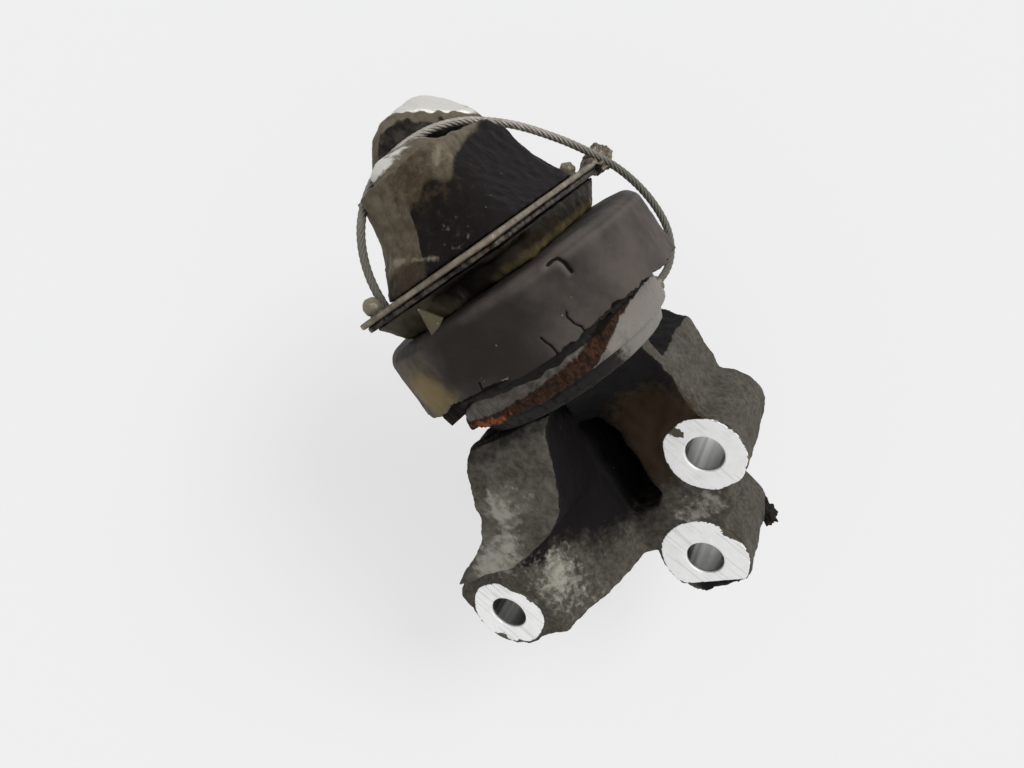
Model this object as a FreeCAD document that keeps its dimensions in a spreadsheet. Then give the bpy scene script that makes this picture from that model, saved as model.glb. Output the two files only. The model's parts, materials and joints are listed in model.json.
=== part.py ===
"""Hydraulic engine mount on a two-level cast bracket, built as a parametric FreeCAD document.

All lengths are millimetres.  The load axis is Z, with the bell-shaped head up and the bracket
below it; the bolt faces of the bracket look along -Y.  Heights in the sheet are counted from the
middle of the rubber boot, and every sub-part is then lowered by the height of the load seat, so
the document's origin lies on the load axis at the floor of the rope groove in the head.
"""
import FreeCAD, Part

import math
import os

import Sketcher
from FreeCAD import Placement, Rotation, Vector

# ---------------------------------------------------------------- driving dimensions

SIZES = [
    # alias, value, meaning
    ("seat_height", 51.0, "rope groove floor in the head, the load seat"),
    ("head_turn", -32.74, "turn of the head and of its rope groove about the load axis"),
    ("fit_gap", 0.3, "clearance of a piece that sits in or round another"),
    ("thread_gap", 0.15, "clearance drawn round a screwed stud"),
    # bracket, level at the back with the upper and lower bolts
    ("bolt_bore_radius", 6.5, "clearance bores for the three fixing bolts"),
    ("upper_bolt_x", 15.0, ""),
    ("upper_bolt_z", -74.6, ""),
    ("upper_boss_radius", 13.7, ""),
    ("lower_bolt_x", -7.2, ""),
    ("lower_bolt_z", -111.5, ""),
    ("lower_boss_radius", 15.7, ""),
    ("lower_boss_trim", 11.9, "flat under the lower bolt, from the bolt's axis"),
    ("lower_boss_slope", 4.5, "depth of the sloping trim under the lower bolt"),
    ("back_face_y", 12.0, "bolt faces of the back level"),
    ("boss_length", 38.0, "length of every bolt boss"),
    ("arm_side_x", 20.4, "straight side of the back arm"),
    ("arm_corner_z", -39.5, "top corner of that side"),
    ("shoulder_x", 5.8, "where the sloping shoulder meets the top"),
    ("waist_x", 13.5, "narrowest place between the upper and lower bosses"),
    ("waist_z", -96.0, ""),
    ("back_web_left", -36.0, ""),
    ("web_foot_z", -103.0, "lower edge of the web"),
    # bracket, level at the front with the third bolt
    ("front_bolt_x", -64.4, ""),
    ("front_bolt_z", -88.3, ""),
    ("front_boss_radius", 14.0, ""),
    ("front_face_y", -24.0, "bolt face of the front level"),
    ("tongue_proud", 6.0, "how far the front arm stands proud of its bolt face"),
    ("tongue_foot_z", -69.0, "lower edge of the proud part"),
    # bracket, top face under the mount
    ("bracket_top", -27.0, ""),
    ("pocket_depth", 24.0, "core pocket between the arms"),
    ("arm_rounding", 2.0, "cast corners along the arms"),
    ("pocket_rounding", 2.5, "corners of the core pocket"),
    # bell and head
    ("bell_base", 22.6, "underside of the bell, on the plate"),
    ("head_top", 70.0, "crown of the dome"),
    ("shoulder_half_x", 17.0, "bell at the foot of the head"),
    ("shoulder_half_y", 24.3, ""),
    ("groove_half_width", 3.9, "half of the saddle between dome and lip"),
    ("dome_depth", 13.0, "thickness of the dome across the saddle"),
    ("rib_thickness", 3.0, "rib that keeps the rope from slipping off the head"),
    ("rib_setback", 1.7, "from the rope's side to the rib"),
    ("seat_bore_radius", 3.4, "blind bore in the load seat"),
    ("seat_bore_depth", 14.0, ""),
    # plates
    ("plate_half_x", 27.0, ""),
    ("plate_half_y", 40.0, ""),
    ("plate_corner", 3.0, ""),
    ("sheet_thickness", 1.8, "each of the two plate layers"),
    ("ear_thickness", 2.6, "wall of the ear that stands behind the rope"),
    ("ear_gap", 0.45, "clearance of the rope in the ear"),
    ("rivet_x", 21.5, ""),
    ("rivet_y", 36.2, ""),
    ("rivet_shank_radius", 1.6, ""),
    ("rivet_ball_radius", 2.3, ""),
    # collar, boot and hydraulic cell
    ("boot_radius", 45.0, ""),
    ("boot_half_height", 10.75, ""),
    ("boot_corner", 5.0, ""),
    ("core_radius", 14.0, ""),
    ("stud_radius", 5.0, ""),
    ("stud_reach", 12.0, "thread of the stud in the bell"),
    ("stud_depth", 14.0, "thread of the stud in the core"),
    ("boot_skirt", 2.6, "thickness of the boot's free skirt"),
    ("ring_inner_radius", 30.8, "steel ring bonded round the rubber spring"),
    ("ring_wall", 2.0, ""),
    ("clamp_radius", 34.4, "flanges held by the crimped ring"),
    ("flange_thickness", 1.6, "orifice plates and diaphragm bead"),
    ("crimp_wall", 1.2, ""),
    ("stack_top", -12.4, "top of the flanges in the crimped ring"),
    ("cup_thickness", 1.8, ""),
    ("cup_shoulder_radius", 33.0, ""),
    ("cup_foot_radius", 32.2, ""),
    ("window_radius", 10.0, "opening of the orifice plates over the decoupler"),
    ("decoupler_radius", 14.6, ""),
    ("base_stud_radius", 5.0, ""),
    ("base_thread_depth", 8.0, "tapped hole in the bracket's top"),
    ("pin_radius", 3.0, ""),
    ("pin_x", -15.0, "locating pin, from the load axis"),
    ("pin_y", -17.0, ""),
    ("pin_depth", 8.0, ""),
    # rope
    ("rope_radius", 1.3, ""),
    ("anchor_radius", 2.7, ""),
    ("anchor_length", 7.0, ""),
]

DOCUMENT = FreeCAD.newDocument("engine_mount")
SHEET = DOCUMENT.addObject("Spreadsheet::Sheet", "dims")
SHEET.Label = "dims"
for row, (alias, amount, meaning) in enumerate(SIZES, start=1):
    SHEET.set("A%d" % row, alias)
    SHEET.set("B%d" % row, repr(amount))
    SHEET.set("C%d" % row, meaning)
    SHEET.setAlias("B%d" % row, alias)
DOCUMENT.recompute()

SUB_PARTS = []


# ---------------------------------------------------------------- small tools

ALIASES = {alias for alias, _, _ in SIZES}


def spelled(expression):
    """The expression with every alias of the sheet written as dims.alias."""
    words = []
    word = ""
    for letter in expression + " ":
        if letter.isalnum() or letter == "_":
            word += letter
            continue
        words.append("dims." + word if word in ALIASES else word)
        words.append(letter)
        word = ""
    return "".join(words).strip()


def amount_of(expression):
    """The value of an expression over the sheet's aliases, as a plain number."""
    return float(SHEET.evalExpression(spelled(str(expression))))


def new_body(label):
    """An empty body, lowered so that the load seat lies at the origin."""
    body = DOCUMENT.addObject("PartDesign::Body", label)
    body.Label = label
    body.setExpression("Placement.Base.z", "-dims.seat_height")
    SUB_PARTS.append(body)
    return body


def saddle_section(body, name, across):
    """An upright sketch along the saddle, at a distance across it from the load axis."""
    section = new_sketch(body, "YZ_Plane", name, turn="head_turn")
    section.setExpression("AttachmentOffset.Base.x", spelled("(%s) * sin(head_turn)" % across))
    section.setExpression("AttachmentOffset.Base.z", spelled("(%s) * cos(head_turn)" % across))
    DOCUMENT.recompute()
    return section


def new_sketch(body, plane, name, height="0", turn="0"):
    """A sketch on an origin plane of the body, shifted along its normal and turned about Z."""
    sketch = body.newObject("Sketcher::SketchObject", name)
    for feature in body.Origin.OriginFeatures:
        if feature.Role == plane:
            sketch.AttachmentSupport = (feature, [""])
    sketch.MapMode = "FlatFace"
    axis = Vector(0, 0, 1) if plane == "XY_Plane" else Vector(0, 1, 0)
    sketch.AttachmentOffset = Placement(Vector(0, 0, amount_of(height)), Rotation(axis, amount_of(turn)))
    sketch.setExpression("AttachmentOffset.Base.z", spelled(height))
    return sketch


def fix_point(sketch, edge, end, x, y):
    """Holds one end of an edge at x, y, both bound to the sheet."""
    for kind, expression in (("DistanceX", x), ("DistanceY", y)):
        constraint = Sketcher.Constraint(kind, -1, 1, edge, end, amount_of(expression))
        index = sketch.addConstraint(constraint)
        sketch.setExpression("Constraints[%d]" % index, spelled(expression))


def arc_between(start, end, bend):
    """Arc from start to end with radius |bend|, bulging right of the travel when bend > 0."""
    chord = end.sub(start)
    half = chord.Length / 2
    reach = math.sqrt(max(bend * bend - half * half, 1e-9))
    right = Vector(chord.y, -chord.x, 0).normalize() * math.copysign(1, bend)
    middle = (start + end) * 0.5
    crown = middle + right * (abs(bend) - reach)
    return Part.ArcOfCircle(start, crown, end)


def outline(sketch, corners):
    """Closed outline through the corners, each (x, y) or (x, y, bend) for an arc to the next."""
    points = [Vector(amount_of(corner[0]), amount_of(corner[1]), 0) for corner in corners]
    first = sketch.GeometryCount
    ends = []
    for index, corner in enumerate(corners):
        start = points[index]
        end = points[(index + 1) % len(points)]
        if len(corner) == 3:
            arc = arc_between(start, end, amount_of(corner[2]))
            edge = sketch.addGeometry(arc, False)
            begin = sketch.getPoint(edge, 1)
            forward = begin.distanceToPoint(start) < 1e-6
            ends.append((1, 2) if forward else (2, 1))
            bend = sketch.addConstraint(Sketcher.Constraint("Radius", edge, arc.Radius))
            sketch.setExpression("Constraints[%d]" % bend, spelled("abs(%s)" % corner[2]))
        else:
            sketch.addGeometry(Part.LineSegment(start, end), False)
            ends.append((1, 2))
    count = len(corners)
    for index in range(count):
        following = (index + 1) % count
        sketch.addConstraint(Sketcher.Constraint(
            "Coincident", first + index, ends[index][1], first + following, ends[following][0]))
    for index, corner in enumerate(corners):
        fix_point(sketch, first + index, ends[index][0], str(corner[0]), str(corner[1]))


def circle(sketch, x, y, radius):
    """A circle whose centre and radius are bound to the sheet."""
    edge = sketch.addGeometry(
        Part.Circle(Vector(amount_of(x), amount_of(y), 0), Vector(0, 0, 1), amount_of(radius)), False)
    index = sketch.addConstraint(Sketcher.Constraint("Radius", edge, amount_of(radius)))
    sketch.setExpression("Constraints[%d]" % index, spelled(radius))
    fix_point(sketch, edge, 3, x, y)


def rounded_rectangle(sketch, half_x, half_y, corner):
    """A rectangle about the sketch's origin with tangent corner arcs."""
    wide = amount_of(half_x)
    deep = amount_of(half_y)
    bend = amount_of(corner)
    arcs = []
    for sign_x, sign_y, start in ((1, 1, 0), (-1, 1, 90), (-1, -1, 180), (1, -1, 270)):
        centre = Vector(sign_x * (wide - bend), sign_y * (deep - bend), 0)
        ring = Part.Circle(centre, Vector(0, 0, 1), bend)
        arc = Part.ArcOfCircle(ring, math.radians(start), math.radians(start + 90))
        arcs.append((sketch.addGeometry(arc, False), sign_x, sign_y))
    for index, (arc, sign_x, sign_y) in enumerate(arcs):
        following = arcs[(index + 1) % 4][0]
        line = Part.LineSegment(sketch.getPoint(arc, 2), sketch.getPoint(following, 1))
        edge = sketch.addGeometry(line, False)
        sketch.addConstraint(Sketcher.Constraint("Tangent", arc, 2, edge, 1))
        sketch.addConstraint(Sketcher.Constraint("Tangent", edge, 2, following, 1))
        fix_point(sketch, arc, 3,
                  "%d * (%s - %s)" % (sign_x, half_x, corner),
                  "%d * (%s - %s)" % (sign_y, half_y, corner))
    radius = sketch.addConstraint(Sketcher.Constraint("Radius", arcs[0][0], bend))
    sketch.setExpression("Constraints[%d]" % radius, spelled(corner))
    for arc, _, _ in arcs[1:]:
        sketch.addConstraint(Sketcher.Constraint("Equal", arcs[0][0], arc))


def swept(body, kind, sketch, length, reverse=False):
    """A Pad or Pocket of the sketch, with its length bound to the sheet."""
    feature = body.newObject("PartDesign::" + kind, sketch.Name + "_" + kind.lower())
    feature.Profile = sketch
    feature.setExpression("Length", spelled(length))
    feature.Reversed = reverse
    DOCUMENT.recompute()
    return feature


def cut_away(body, sketch, length, reverse=False):
    """A Pocket that has to take material away."""
    before = body.Shape.Volume
    feature = swept(body, "Pocket", sketch, length, reverse)
    if feature.Shape.Volume > before - 1e-3:
        raise ValueError("%s cuts nothing from %s" % (feature.Label, body.Label))
    return feature


def turned(label, profile):
    """A body turned about the load axis from a profile of (radius, height) corners."""
    body = new_body(label)
    sketch = new_sketch(body, "XZ_Plane", label + "_profile")
    outline(sketch, profile)
    feature = body.newObject("PartDesign::Revolution", label + "_turning")
    feature.Profile = sketch
    feature.ReferenceAxis = (sketch, ["V_Axis"])
    feature.Angle = 360
    DOCUMENT.recompute()
    return body


def lofted(body, kind, sketches, ruled):
    """A loft through the sketches, added to or taken from the body."""
    feature = body.newObject("PartDesign::" + kind, sketches[0].Name + "_loft")
    feature.Profile = sketches[0]
    feature.Sections = sketches[1:]
    feature.Ruled = ruled
    DOCUMENT.recompute()
    return feature


def stands_at(edge, x, z):
    """True for an edge that runs along Y at the place x, z."""
    points = [vertex.Point for vertex in edge.Vertexes]
    return len(points) == 2 and all(
        abs(point.x - x) < 0.01 and abs(point.z - z) < 0.01 for point in points)


def round_corners(body, radius, corners):
    """Fillets the edges of the body's tip that run along Y at the given corners (x, z)."""
    base = body.Tip
    places = [(amount_of(x), amount_of(z)) for x, z in corners]
    names = ["Edge%d" % (index + 1) for index, edge in enumerate(base.Shape.Edges)
             if any(stands_at(edge, x, z) for x, z in places)]
    if len(names) < len(corners):
        raise ValueError("%s lacks a corner to round" % body.Label)
    feature = body.newObject("PartDesign::Fillet", base.Name + "_rounding")
    feature.Base = (base, names)
    feature.setExpression("Radius", spelled(radius))
    DOCUMENT.recompute()
    return feature


# ---------------------------------------------------------------- cast bracket

def mount_bracket():
    """One casting: a front arm, a back arm, three bolt bosses and a gusset under the mount."""
    body = new_body("mount_bracket")
    tongue_y = "-(front_face_y - tongue_proud)"

    arm = new_sketch(body, "XZ_Plane", "front_arm", height=tongue_y)
    outline(arm, [
        ("-29", "bracket_top"),
        ("-35", "bracket_top - 4.5"),
        ("-45", "-52"),
        ("-50", "-58"),
        ("front_bolt_x - 8.2", "tongue_foot_z - 1.2"),
        ("front_bolt_x - front_boss_radius", "front_bolt_z + 12.3"),
        ("front_bolt_x - front_boss_radius", "front_bolt_z", "front_boss_radius"),
        ("front_bolt_x", "front_bolt_z - front_boss_radius"),
        ("-51", "web_foot_z + 1.8"),
        ("-46", "web_foot_z + 0.6"),
        ("8", "web_foot_z"),
        ("8", "bracket_top"),
    ])
    swept(body, "Pad", arm, "boss_length + tongue_proud", reverse=True)

    step = new_sketch(body, "XZ_Plane", "front_bolt_seat", height=tongue_y)
    outline(step, [
        ("-90", "tongue_foot_z"),
        ("-90", "web_foot_z - 10"),
        ("20", "web_foot_z - 10"),
        ("20", "tongue_foot_z"),
    ])
    cut_away(body, step, "tongue_proud", reverse=False)

    front_arm_flank(body)

    back = new_sketch(body, "XZ_Plane", "back_arm", height="-back_face_y")
    outline(back, [
        ("shoulder_x", "bracket_top"),
        ("-28", "bracket_top"),
        ("back_web_left", "bracket_top - 7"),
        ("back_web_left", "web_foot_z"),
        ("lower_bolt_x - 13.2", "web_foot_z"),
        ("lower_bolt_x", "lower_bolt_z"),
        ("waist_x", "waist_z"),
        ("arm_side_x", "upper_bolt_z"),
        ("arm_side_x", "arm_corner_z"),
    ])
    swept(body, "Pad", back, "boss_length", reverse=True)

    for name, x, z, radius, face in (
            ("upper_boss", "upper_bolt_x", "upper_bolt_z", "upper_boss_radius", "back_face_y"),
            ("lower_boss", "lower_bolt_x", "lower_bolt_z", "lower_boss_radius", "back_face_y"),
            ("front_boss", "front_bolt_x", "front_bolt_z", "front_boss_radius", "front_face_y")):
        sketch = new_sketch(body, "XZ_Plane", name, height="-" + face)
        circle(sketch, x, z, radius)
        swept(body, "Pad", sketch, "boss_length", reverse=True)

    under_cup = new_sketch(body, "XY_Plane", "gusset_top", height="bracket_top")
    outline(under_cup, [("-14", "14"), ("6", "-26"), ("22", "4"), ("arm_side_x", "14")])
    into_arm = new_sketch(body, "XY_Plane", "gusset_foot", height="bracket_top - 19")
    outline(into_arm, [("-20", "14"), ("-19", "back_face_y - 0.5"),
                       ("arm_side_x", "back_face_y - 0.5"), ("arm_side_x", "14")])
    lofted(body, "AdditiveLoft", [under_cup, into_arm], ruled=True)

    pocket = new_sketch(body, "XZ_Plane", "core_pocket", height="-back_face_y")
    high_corner = ("-20", "-47")
    corners = [
        ("-22", "-87.5"),
        ("-12", "-87.5"),
        ("-7.5", "-83"),
        ("-7.5", "-56"),
        ("-10.5", "-48.5"),
    ]
    outline(pocket, [high_corner] + corners)
    cut_away(body, pocket, "pocket_depth")

    trim = new_sketch(body, "YZ_Plane", "lower_boss_slope", height="lower_bolt_x - lower_boss_radius")
    outline(trim, [
        ("back_face_y - 1", "lower_bolt_z - lower_boss_trim"),
        ("back_face_y", "lower_bolt_z - lower_boss_trim"),
        ("back_face_y + lower_boss_slope", "lower_bolt_z - lower_boss_radius"),
        ("back_face_y + lower_boss_slope", "lower_bolt_z - lower_boss_radius - 3"),
        ("back_face_y - 1", "lower_bolt_z - lower_boss_radius - 3"),
    ])
    cut_away(body, trim, "2 * lower_boss_radius", reverse=True)

    for name, x, z, face in (
            ("upper_bore", "upper_bolt_x", "upper_bolt_z", "back_face_y"),
            ("lower_bore", "lower_bolt_x", "lower_bolt_z", "back_face_y"),
            ("front_bore", "front_bolt_x", "front_bolt_z", "front_face_y")):
        sketch = new_sketch(body, "XZ_Plane", name, height="-" + face)
        circle(sketch, x, z, "bolt_bore_radius")
        cut_away(body, sketch, "boss_length")

    for name, x, y, radius, depth in (
            ("base_thread", "0", "0", "base_stud_radius + thread_gap", "base_thread_depth"),
            ("pin_hole", "pin_x", "pin_y", "pin_radius + thread_gap", "pin_depth")):
        sketch = new_sketch(body, "XY_Plane", name, height="bracket_top")
        circle(sketch, x, y, radius)
        cut_away(body, sketch, depth)

    round_corners(body, "pocket_rounding", corners)
    round_corners(body, "arm_rounding", [
        ("shoulder_x", "bracket_top"), ("waist_x", "waist_z"), ("back_web_left", "web_foot_z")])
    return body


def front_arm_flank(body):
    """Hollows the side of the front arm, a ruled face from its ridge back to the rear level."""
    levels = [
        # height, ridge on the proud face, end of the face at the back level
        ("bracket_top + 2", "7", "-13"),
        ("-33", "-1.5", "-16"),
        ("-45", "-7", "-20"),
        ("-57", "-14", "-21.5"),
        ("-63", "-23", "-22"),
        ("tongue_foot_z", "-44", "-22.5"),
        ("-76", "front_bolt_x + front_boss_radius + 0.5", "-23"),
        ("web_foot_z - 2", "front_bolt_x + front_boss_radius - 1.5", "-22"),
    ]
    front_y = "front_face_y - tongue_proud - 1"
    back_y = "front_face_y + boss_length + 1"
    sections = []
    for index, (height, ridge, root) in enumerate(levels):
        section = new_sketch(body, "XY_Plane", "flank_%d" % index, height=height)
        outline(section, [
            (ridge, front_y),
            ("30", front_y),
            ("30", back_y),
            (root, back_y),
        ])
        sections.append(section)
    lofted(body, "SubtractiveLoft", sections, ruled=True)


# ---------------------------------------------------------------- cast bell with its head

def bell_housing():
    """A flared skirt under a saddle for the rope, with a dome behind it and a lip before it."""
    body = new_body("bell_housing")
    levels = [
        # height, half width, half length, corner radius
        ("bell_base", "24.5", "35.5", "17"),
        ("bell_base + 4.4", "22.5", "33", "15"),
        ("bell_base + 10.4", "20", "29.5", "13"),
        ("bell_base + 17.4", "18", "26.5", "11"),
        ("bell_base + 23.4", "shoulder_half_x", "shoulder_half_y + 0.5", "8.5"),
        ("seat_height", "shoulder_half_x", "shoulder_half_y", "6"),
    ]
    sections = []
    for index, (height, half_x, half_y, corner) in enumerate(levels):
        section = new_sketch(body, "XY_Plane", "skirt_%d" % index, height=height)
        rounded_rectangle(section, half_x, half_y, corner)
        sections.append(section)
    lofted(body, "AdditiveLoft", sections, ruled=False)

    dome = [
        # front, crest and back outlines: distance along the saddle, height above the load seat
        ("-groove_half_width", [
            (-16, -5), (-14.5, 5), (-11, 9.5), (-7.5, 13.5), (-3.5, 15.7), (3.6, 16),
            (9, 14), (13, 11.4), (19, 7.6), (24, 6), (25.3, 2), (25, -5)]),
        ("-groove_half_width - 0.48 * dome_depth", [
            (-16, -5), (-14.6, 5), (-11.8, 9.3), (-7.9, 14.1), (-2.6, 17.2), (5, 18.7),
            (13, 19), (17, 17.3), (21, 14), (25.2, 8.2), (25.8, 3), (24.5, -5)]),
        ("-groove_half_width - dome_depth", [
            (-12, -5), (-9.5, 6), (-7, 10), (-3, 13.5), (1, 15.5), (6, 16.5),
            (12, 16.5), (15, 15), (18, 12), (20, 7.5), (20.5, 3), (20, -5)]),
    ]
    saddle_loft(body, "dome", dome)

    lip = [
        ("groove_half_width", [
            (-21, -3), (-21, 3.5), (-17, 5.5), (-11, 6.4), (-3.5, 6.3), (-1, 5), (0.2, 3),
            (3, 1.4), (12, 0.8), (16, -0.5), (16, -3)]),
        ("groove_half_width + 2.4", [
            (-21.3, -3), (-21.3, 3.3), (-17, 5.6), (-11, 6.2), (-3.5, 6.1), (-1, 5), (0.2, 3),
            (3, 1.4), (12, 0.6), (15.5, -0.8), (15.5, -3)]),
        ("groove_half_width + 6.1", [
            (-20.5, -4), (-20.8, 2), (-17, 3.5), (-11, 3.8), (-3.5, 3.6), (-1.5, 3), (0, 2.2),
            (3, 1.2), (11, 0.2), (13.5, -1.2), (13.5, -4)]),
        ("groove_half_width + 10.1", [
            (-17.5, -5), (-17.5, -2.2), (-15.5, -1.6), (-11, -1.4), (-3.5, -1.4), (-1.5, -1.4),
            (0, -1.5), (3, -1.5), (7, -1.8), (8.8, -2.5), (8.8, -5)]),
    ]
    saddle_loft(body, "lip", lip)

    rib = saddle_section(body, "rope_rib", "-rope_radius - rib_setback - rib_thickness")
    outline(rib, [
        ("15", "seat_height - 14"),
        ("15", "seat_height - 2"),
        ("28.3", "seat_height - 1.2"),
        ("29.6", "seat_height + 0.7"),
        ("31", "seat_height + 0.3"),
        ("32.4", "seat_height - 5"),
        ("33.5", "seat_height - 14"),
    ])
    swept(body, "Pad", rib, "rib_thickness")

    run_out = new_sketch(body, "YZ_Plane", "rope_run_out", turn="head_turn")
    outline(run_out, [
        ("14", "head_top"),
        ("14", "seat_height + 0.6"),
        ("19", "seat_height - 0.6"),
        ("25", "seat_height - 5"),
        ("33", "seat_height - 11"),
        ("44", "seat_height - 18"),
        ("44", "head_top"),
    ])
    run_out.setExpression("AttachmentOffset.Base.x", spelled("-(rope_radius + 0.6) * sin(head_turn)"))
    run_out.setExpression("AttachmentOffset.Base.z", spelled("-(rope_radius + 0.6) * cos(head_turn)"))
    cut_away(body, run_out, "40", reverse=True)

    run_in = new_sketch(body, "YZ_Plane", "rope_run_in", turn="head_turn")
    outline(run_in, [
        ("-40", "seat_height + 5"),
        ("-40", "seat_height - 20"),
        ("-30", "seat_height - 7.5"),
        ("-25.5", "seat_height - 4.4"),
        ("-20.5", "seat_height - 0.8"),
        ("-16", "seat_height"),
        ("-16", "seat_height + 5"),
    ])
    two_sided(cut_away(body, run_in, "2 * (rope_radius + 0.6)"))

    for name, radius, depth, height, upward in (
            ("stud_hole", "stud_radius + thread_gap", "stud_reach + fit_gap", "bell_base", True),
            ("seat_bore", "seat_bore_radius", "seat_bore_depth", "seat_height", False)):
        sketch = new_sketch(body, "XY_Plane", name, height=height)
        circle(sketch, "0", "0", radius)
        cut_away(body, sketch, depth, reverse=upward)
    return body


def saddle_loft(body, name, levels):
    """Adds a ruled loft through upright outlines, their heights counted from the load seat."""
    sections = []
    for index, (across, corners) in enumerate(levels):
        section = saddle_section(body, "%s_%d" % (name, index), across)
        outline(section, [(str(along), "seat_height + (%s)" % rise) for along, rise in corners])
        sections.append(section)
    return lofted(body, "AdditiveLoft", sections, ruled=True)


def two_sided(pocket):
    """Lets a pocket run the same way to both sides of its sketch."""
    pocket.Midplane = True
    DOCUMENT.recompute()
    return pocket


# ---------------------------------------------------------------- plates and their fasteners

ROPE_FOOT = ("37.9 * sin(head_turn)", "-37.9 * cos(head_turn)")
RIVETS = (("-rivet_x", "-rivet_y"), ("rivet_x - 3.3", "rivet_y + 0.6"))


def plate_layer(label, top, margin):
    """A sheet with rounded corners and holes for the stud, the rivets and the rope's end."""
    body = new_body(label)
    sheet = new_sketch(body, "XY_Plane", label + "_blank", height=top)
    rounded_rectangle(sheet, "plate_half_x - %s" % margin, "plate_half_y - %s" % margin, "plate_corner")
    swept(body, "Pad", sheet, "sheet_thickness", reverse=True)
    holes = new_sketch(body, "XY_Plane", label + "_holes", height=top)
    circle(holes, "0", "0", "stud_radius + thread_gap")
    circle(holes, ROPE_FOOT[0], ROPE_FOOT[1], "rope_radius + thread_gap")
    for x, y in RIVETS:
        circle(holes, x, y, "rivet_shank_radius + thread_gap")
    cut_away(body, holes, "sheet_thickness")
    return body


def limiter_plate():
    """The upper layer, with a curled ear at one corner that guides the rope."""
    body = plate_layer("limiter_plate", "bell_base", "0")
    walls = [
        # start across the saddle, thickness, outline: distance along the saddle, height above the plate
        ("back_wall", "-rope_radius - ear_gap - ear_thickness", "ear_thickness", [
            (43.8, -1.8), (47.4, -1.8), (47.4, -4.7), (54, -4.8), (57.2, -1.1), (56.2, 1.6),
            (53.6, 4.4), (50.4, 3.6), (46, 1.8), (43.8, 0)]),
        ("saddle", "-rope_radius - ear_gap", "2 * rope_radius + 2 * ear_gap", [
            (43.8, -1.8), (47.4, -1.8), (47.4, -4.6), (50.7, -4.6), (46.7, 1.4), (45, 1.8),
            (43.8, 0)]),
    ]
    for name, across, thickness, corners in walls:
        section = saddle_section(body, "ear_" + name, across)
        outline(section, [(str(along), "bell_base + (%s)" % rise) for along, rise in corners])
        swept(body, "Pad", section, thickness)
    return body


def backing_plate():
    """The lower layer, a little smaller all round."""
    return plate_layer("backing_plate", "bell_base - sheet_thickness", "1")


def plate_rivets():
    """Two ball-headed rivets through both layers, one node of separate solids."""
    rivets = []
    for index, (x, y) in enumerate(RIVETS):
        profile = Part.Face(Part.Wire(Part.makePolygon([
            Vector(0, 0, amount_of("bell_base - 2 * sheet_thickness")),
            Vector(amount_of("rivet_shank_radius"), 0, amount_of("bell_base - 2 * sheet_thickness")),
            Vector(amount_of("rivet_shank_radius"), 0, amount_of("bell_base + 2.6")),
            Vector(0, 0, amount_of("bell_base + 2.6")),
            Vector(0, 0, amount_of("bell_base - 2 * sheet_thickness")),
        ])))
        shank = profile.revolve(Vector(0, 0, 0), Vector(0, 0, 1), 360)
        neck = Part.makeCone(amount_of("rivet_ball_radius"), amount_of("rivet_ball_radius - 0.6"),
                             1.6, Vector(0, 0, amount_of("bell_base")))
        ball = Part.makeSphere(amount_of("rivet_ball_radius"), Vector(0, 0, amount_of("bell_base + 2.6")))
        rivet = shank.fuse([neck, ball]).removeSplitter()
        rivet.translate(Vector(amount_of(x), amount_of(y), -amount_of("seat_height")))
        rivets.append(rivet)
    group = DOCUMENT.addObject("Part::Feature", "plate_rivets")
    group.Label = "plate_rivets"
    group.Shape = Part.makeCompound(rivets)
    SUB_PARTS.append(group)
    return group


# ---------------------------------------------------------------- collar and boot

def stop_collar():
    """The oily rubber stop under the plates, tapering down to the boot, open at one corner."""
    body = new_body("stop_collar")
    collar_top = "bell_base - 2 * sheet_thickness"
    top = new_sketch(body, "XY_Plane", "collar_top", height=collar_top)
    rounded_rectangle(top, "plate_half_x - 2", "plate_half_y - 2", "4")
    foot = new_sketch(body, "XY_Plane", "collar_foot", height="boot_half_height")
    rounded_rectangle(foot, "plate_half_x - 5.5", "plate_half_y - 7.5", "4")
    lofted(body, "AdditiveLoft", [top, foot], ruled=True)
    bore = new_sketch(body, "XY_Plane", "collar_bore", height=collar_top)
    circle(bore, "0", "0", "core_radius + fit_gap")
    cut_away(body, bore, "30")
    window = new_sketch(body, "XY_Plane", "collar_window", height=collar_top + " - 1.6")
    outline(window, [
        ("-4", "-plate_half_y"),
        ("plate_half_x", "-plate_half_y"),
        ("plate_half_x", "-16"),
        ("14", "-24"),
        ("-1", "-24"),
    ])
    cut_away(body, window, "20")
    return body


def rubber_boot():
    """The large ring: a thick cap with a rounded shoulder and a skirt that hangs over the ring."""
    return turned("rubber_boot", [
        ("boot_radius", "-boot_half_height"),
        ("boot_radius", "boot_half_height - boot_corner", "boot_corner"),
        ("boot_radius - boot_corner", "boot_half_height"),
        ("core_radius + 1.5", "boot_half_height"),
        ("core_radius + 1.5", "boot_half_height - 2.5"),
        ("ring_inner_radius - 1.5", "boot_half_height - 2.5"),
        ("ring_inner_radius + ring_wall + fit_gap", "boot_half_height - 6"),
        ("ring_inner_radius + ring_wall + fit_gap", "stack_top + crimp_wall + fit_gap + 3"),
        ("clamp_radius + crimp_wall + 0.5", "stack_top + crimp_wall + fit_gap"),
        ("boot_radius - boot_skirt", "-boot_half_height"),
    ])


# ---------------------------------------------------------------- hydraulic cell

STACK = {
    "ring_foot": "stack_top - flange_thickness",
    "upper_plate_foot": "stack_top - 2 * flange_thickness",
    "lower_plate_foot": "stack_top - 3 * flange_thickness",
    "bead_foot": "stack_top - 4 * flange_thickness",
    "cup_flange_foot": "stack_top - 4 * flange_thickness - cup_thickness",
}


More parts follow.
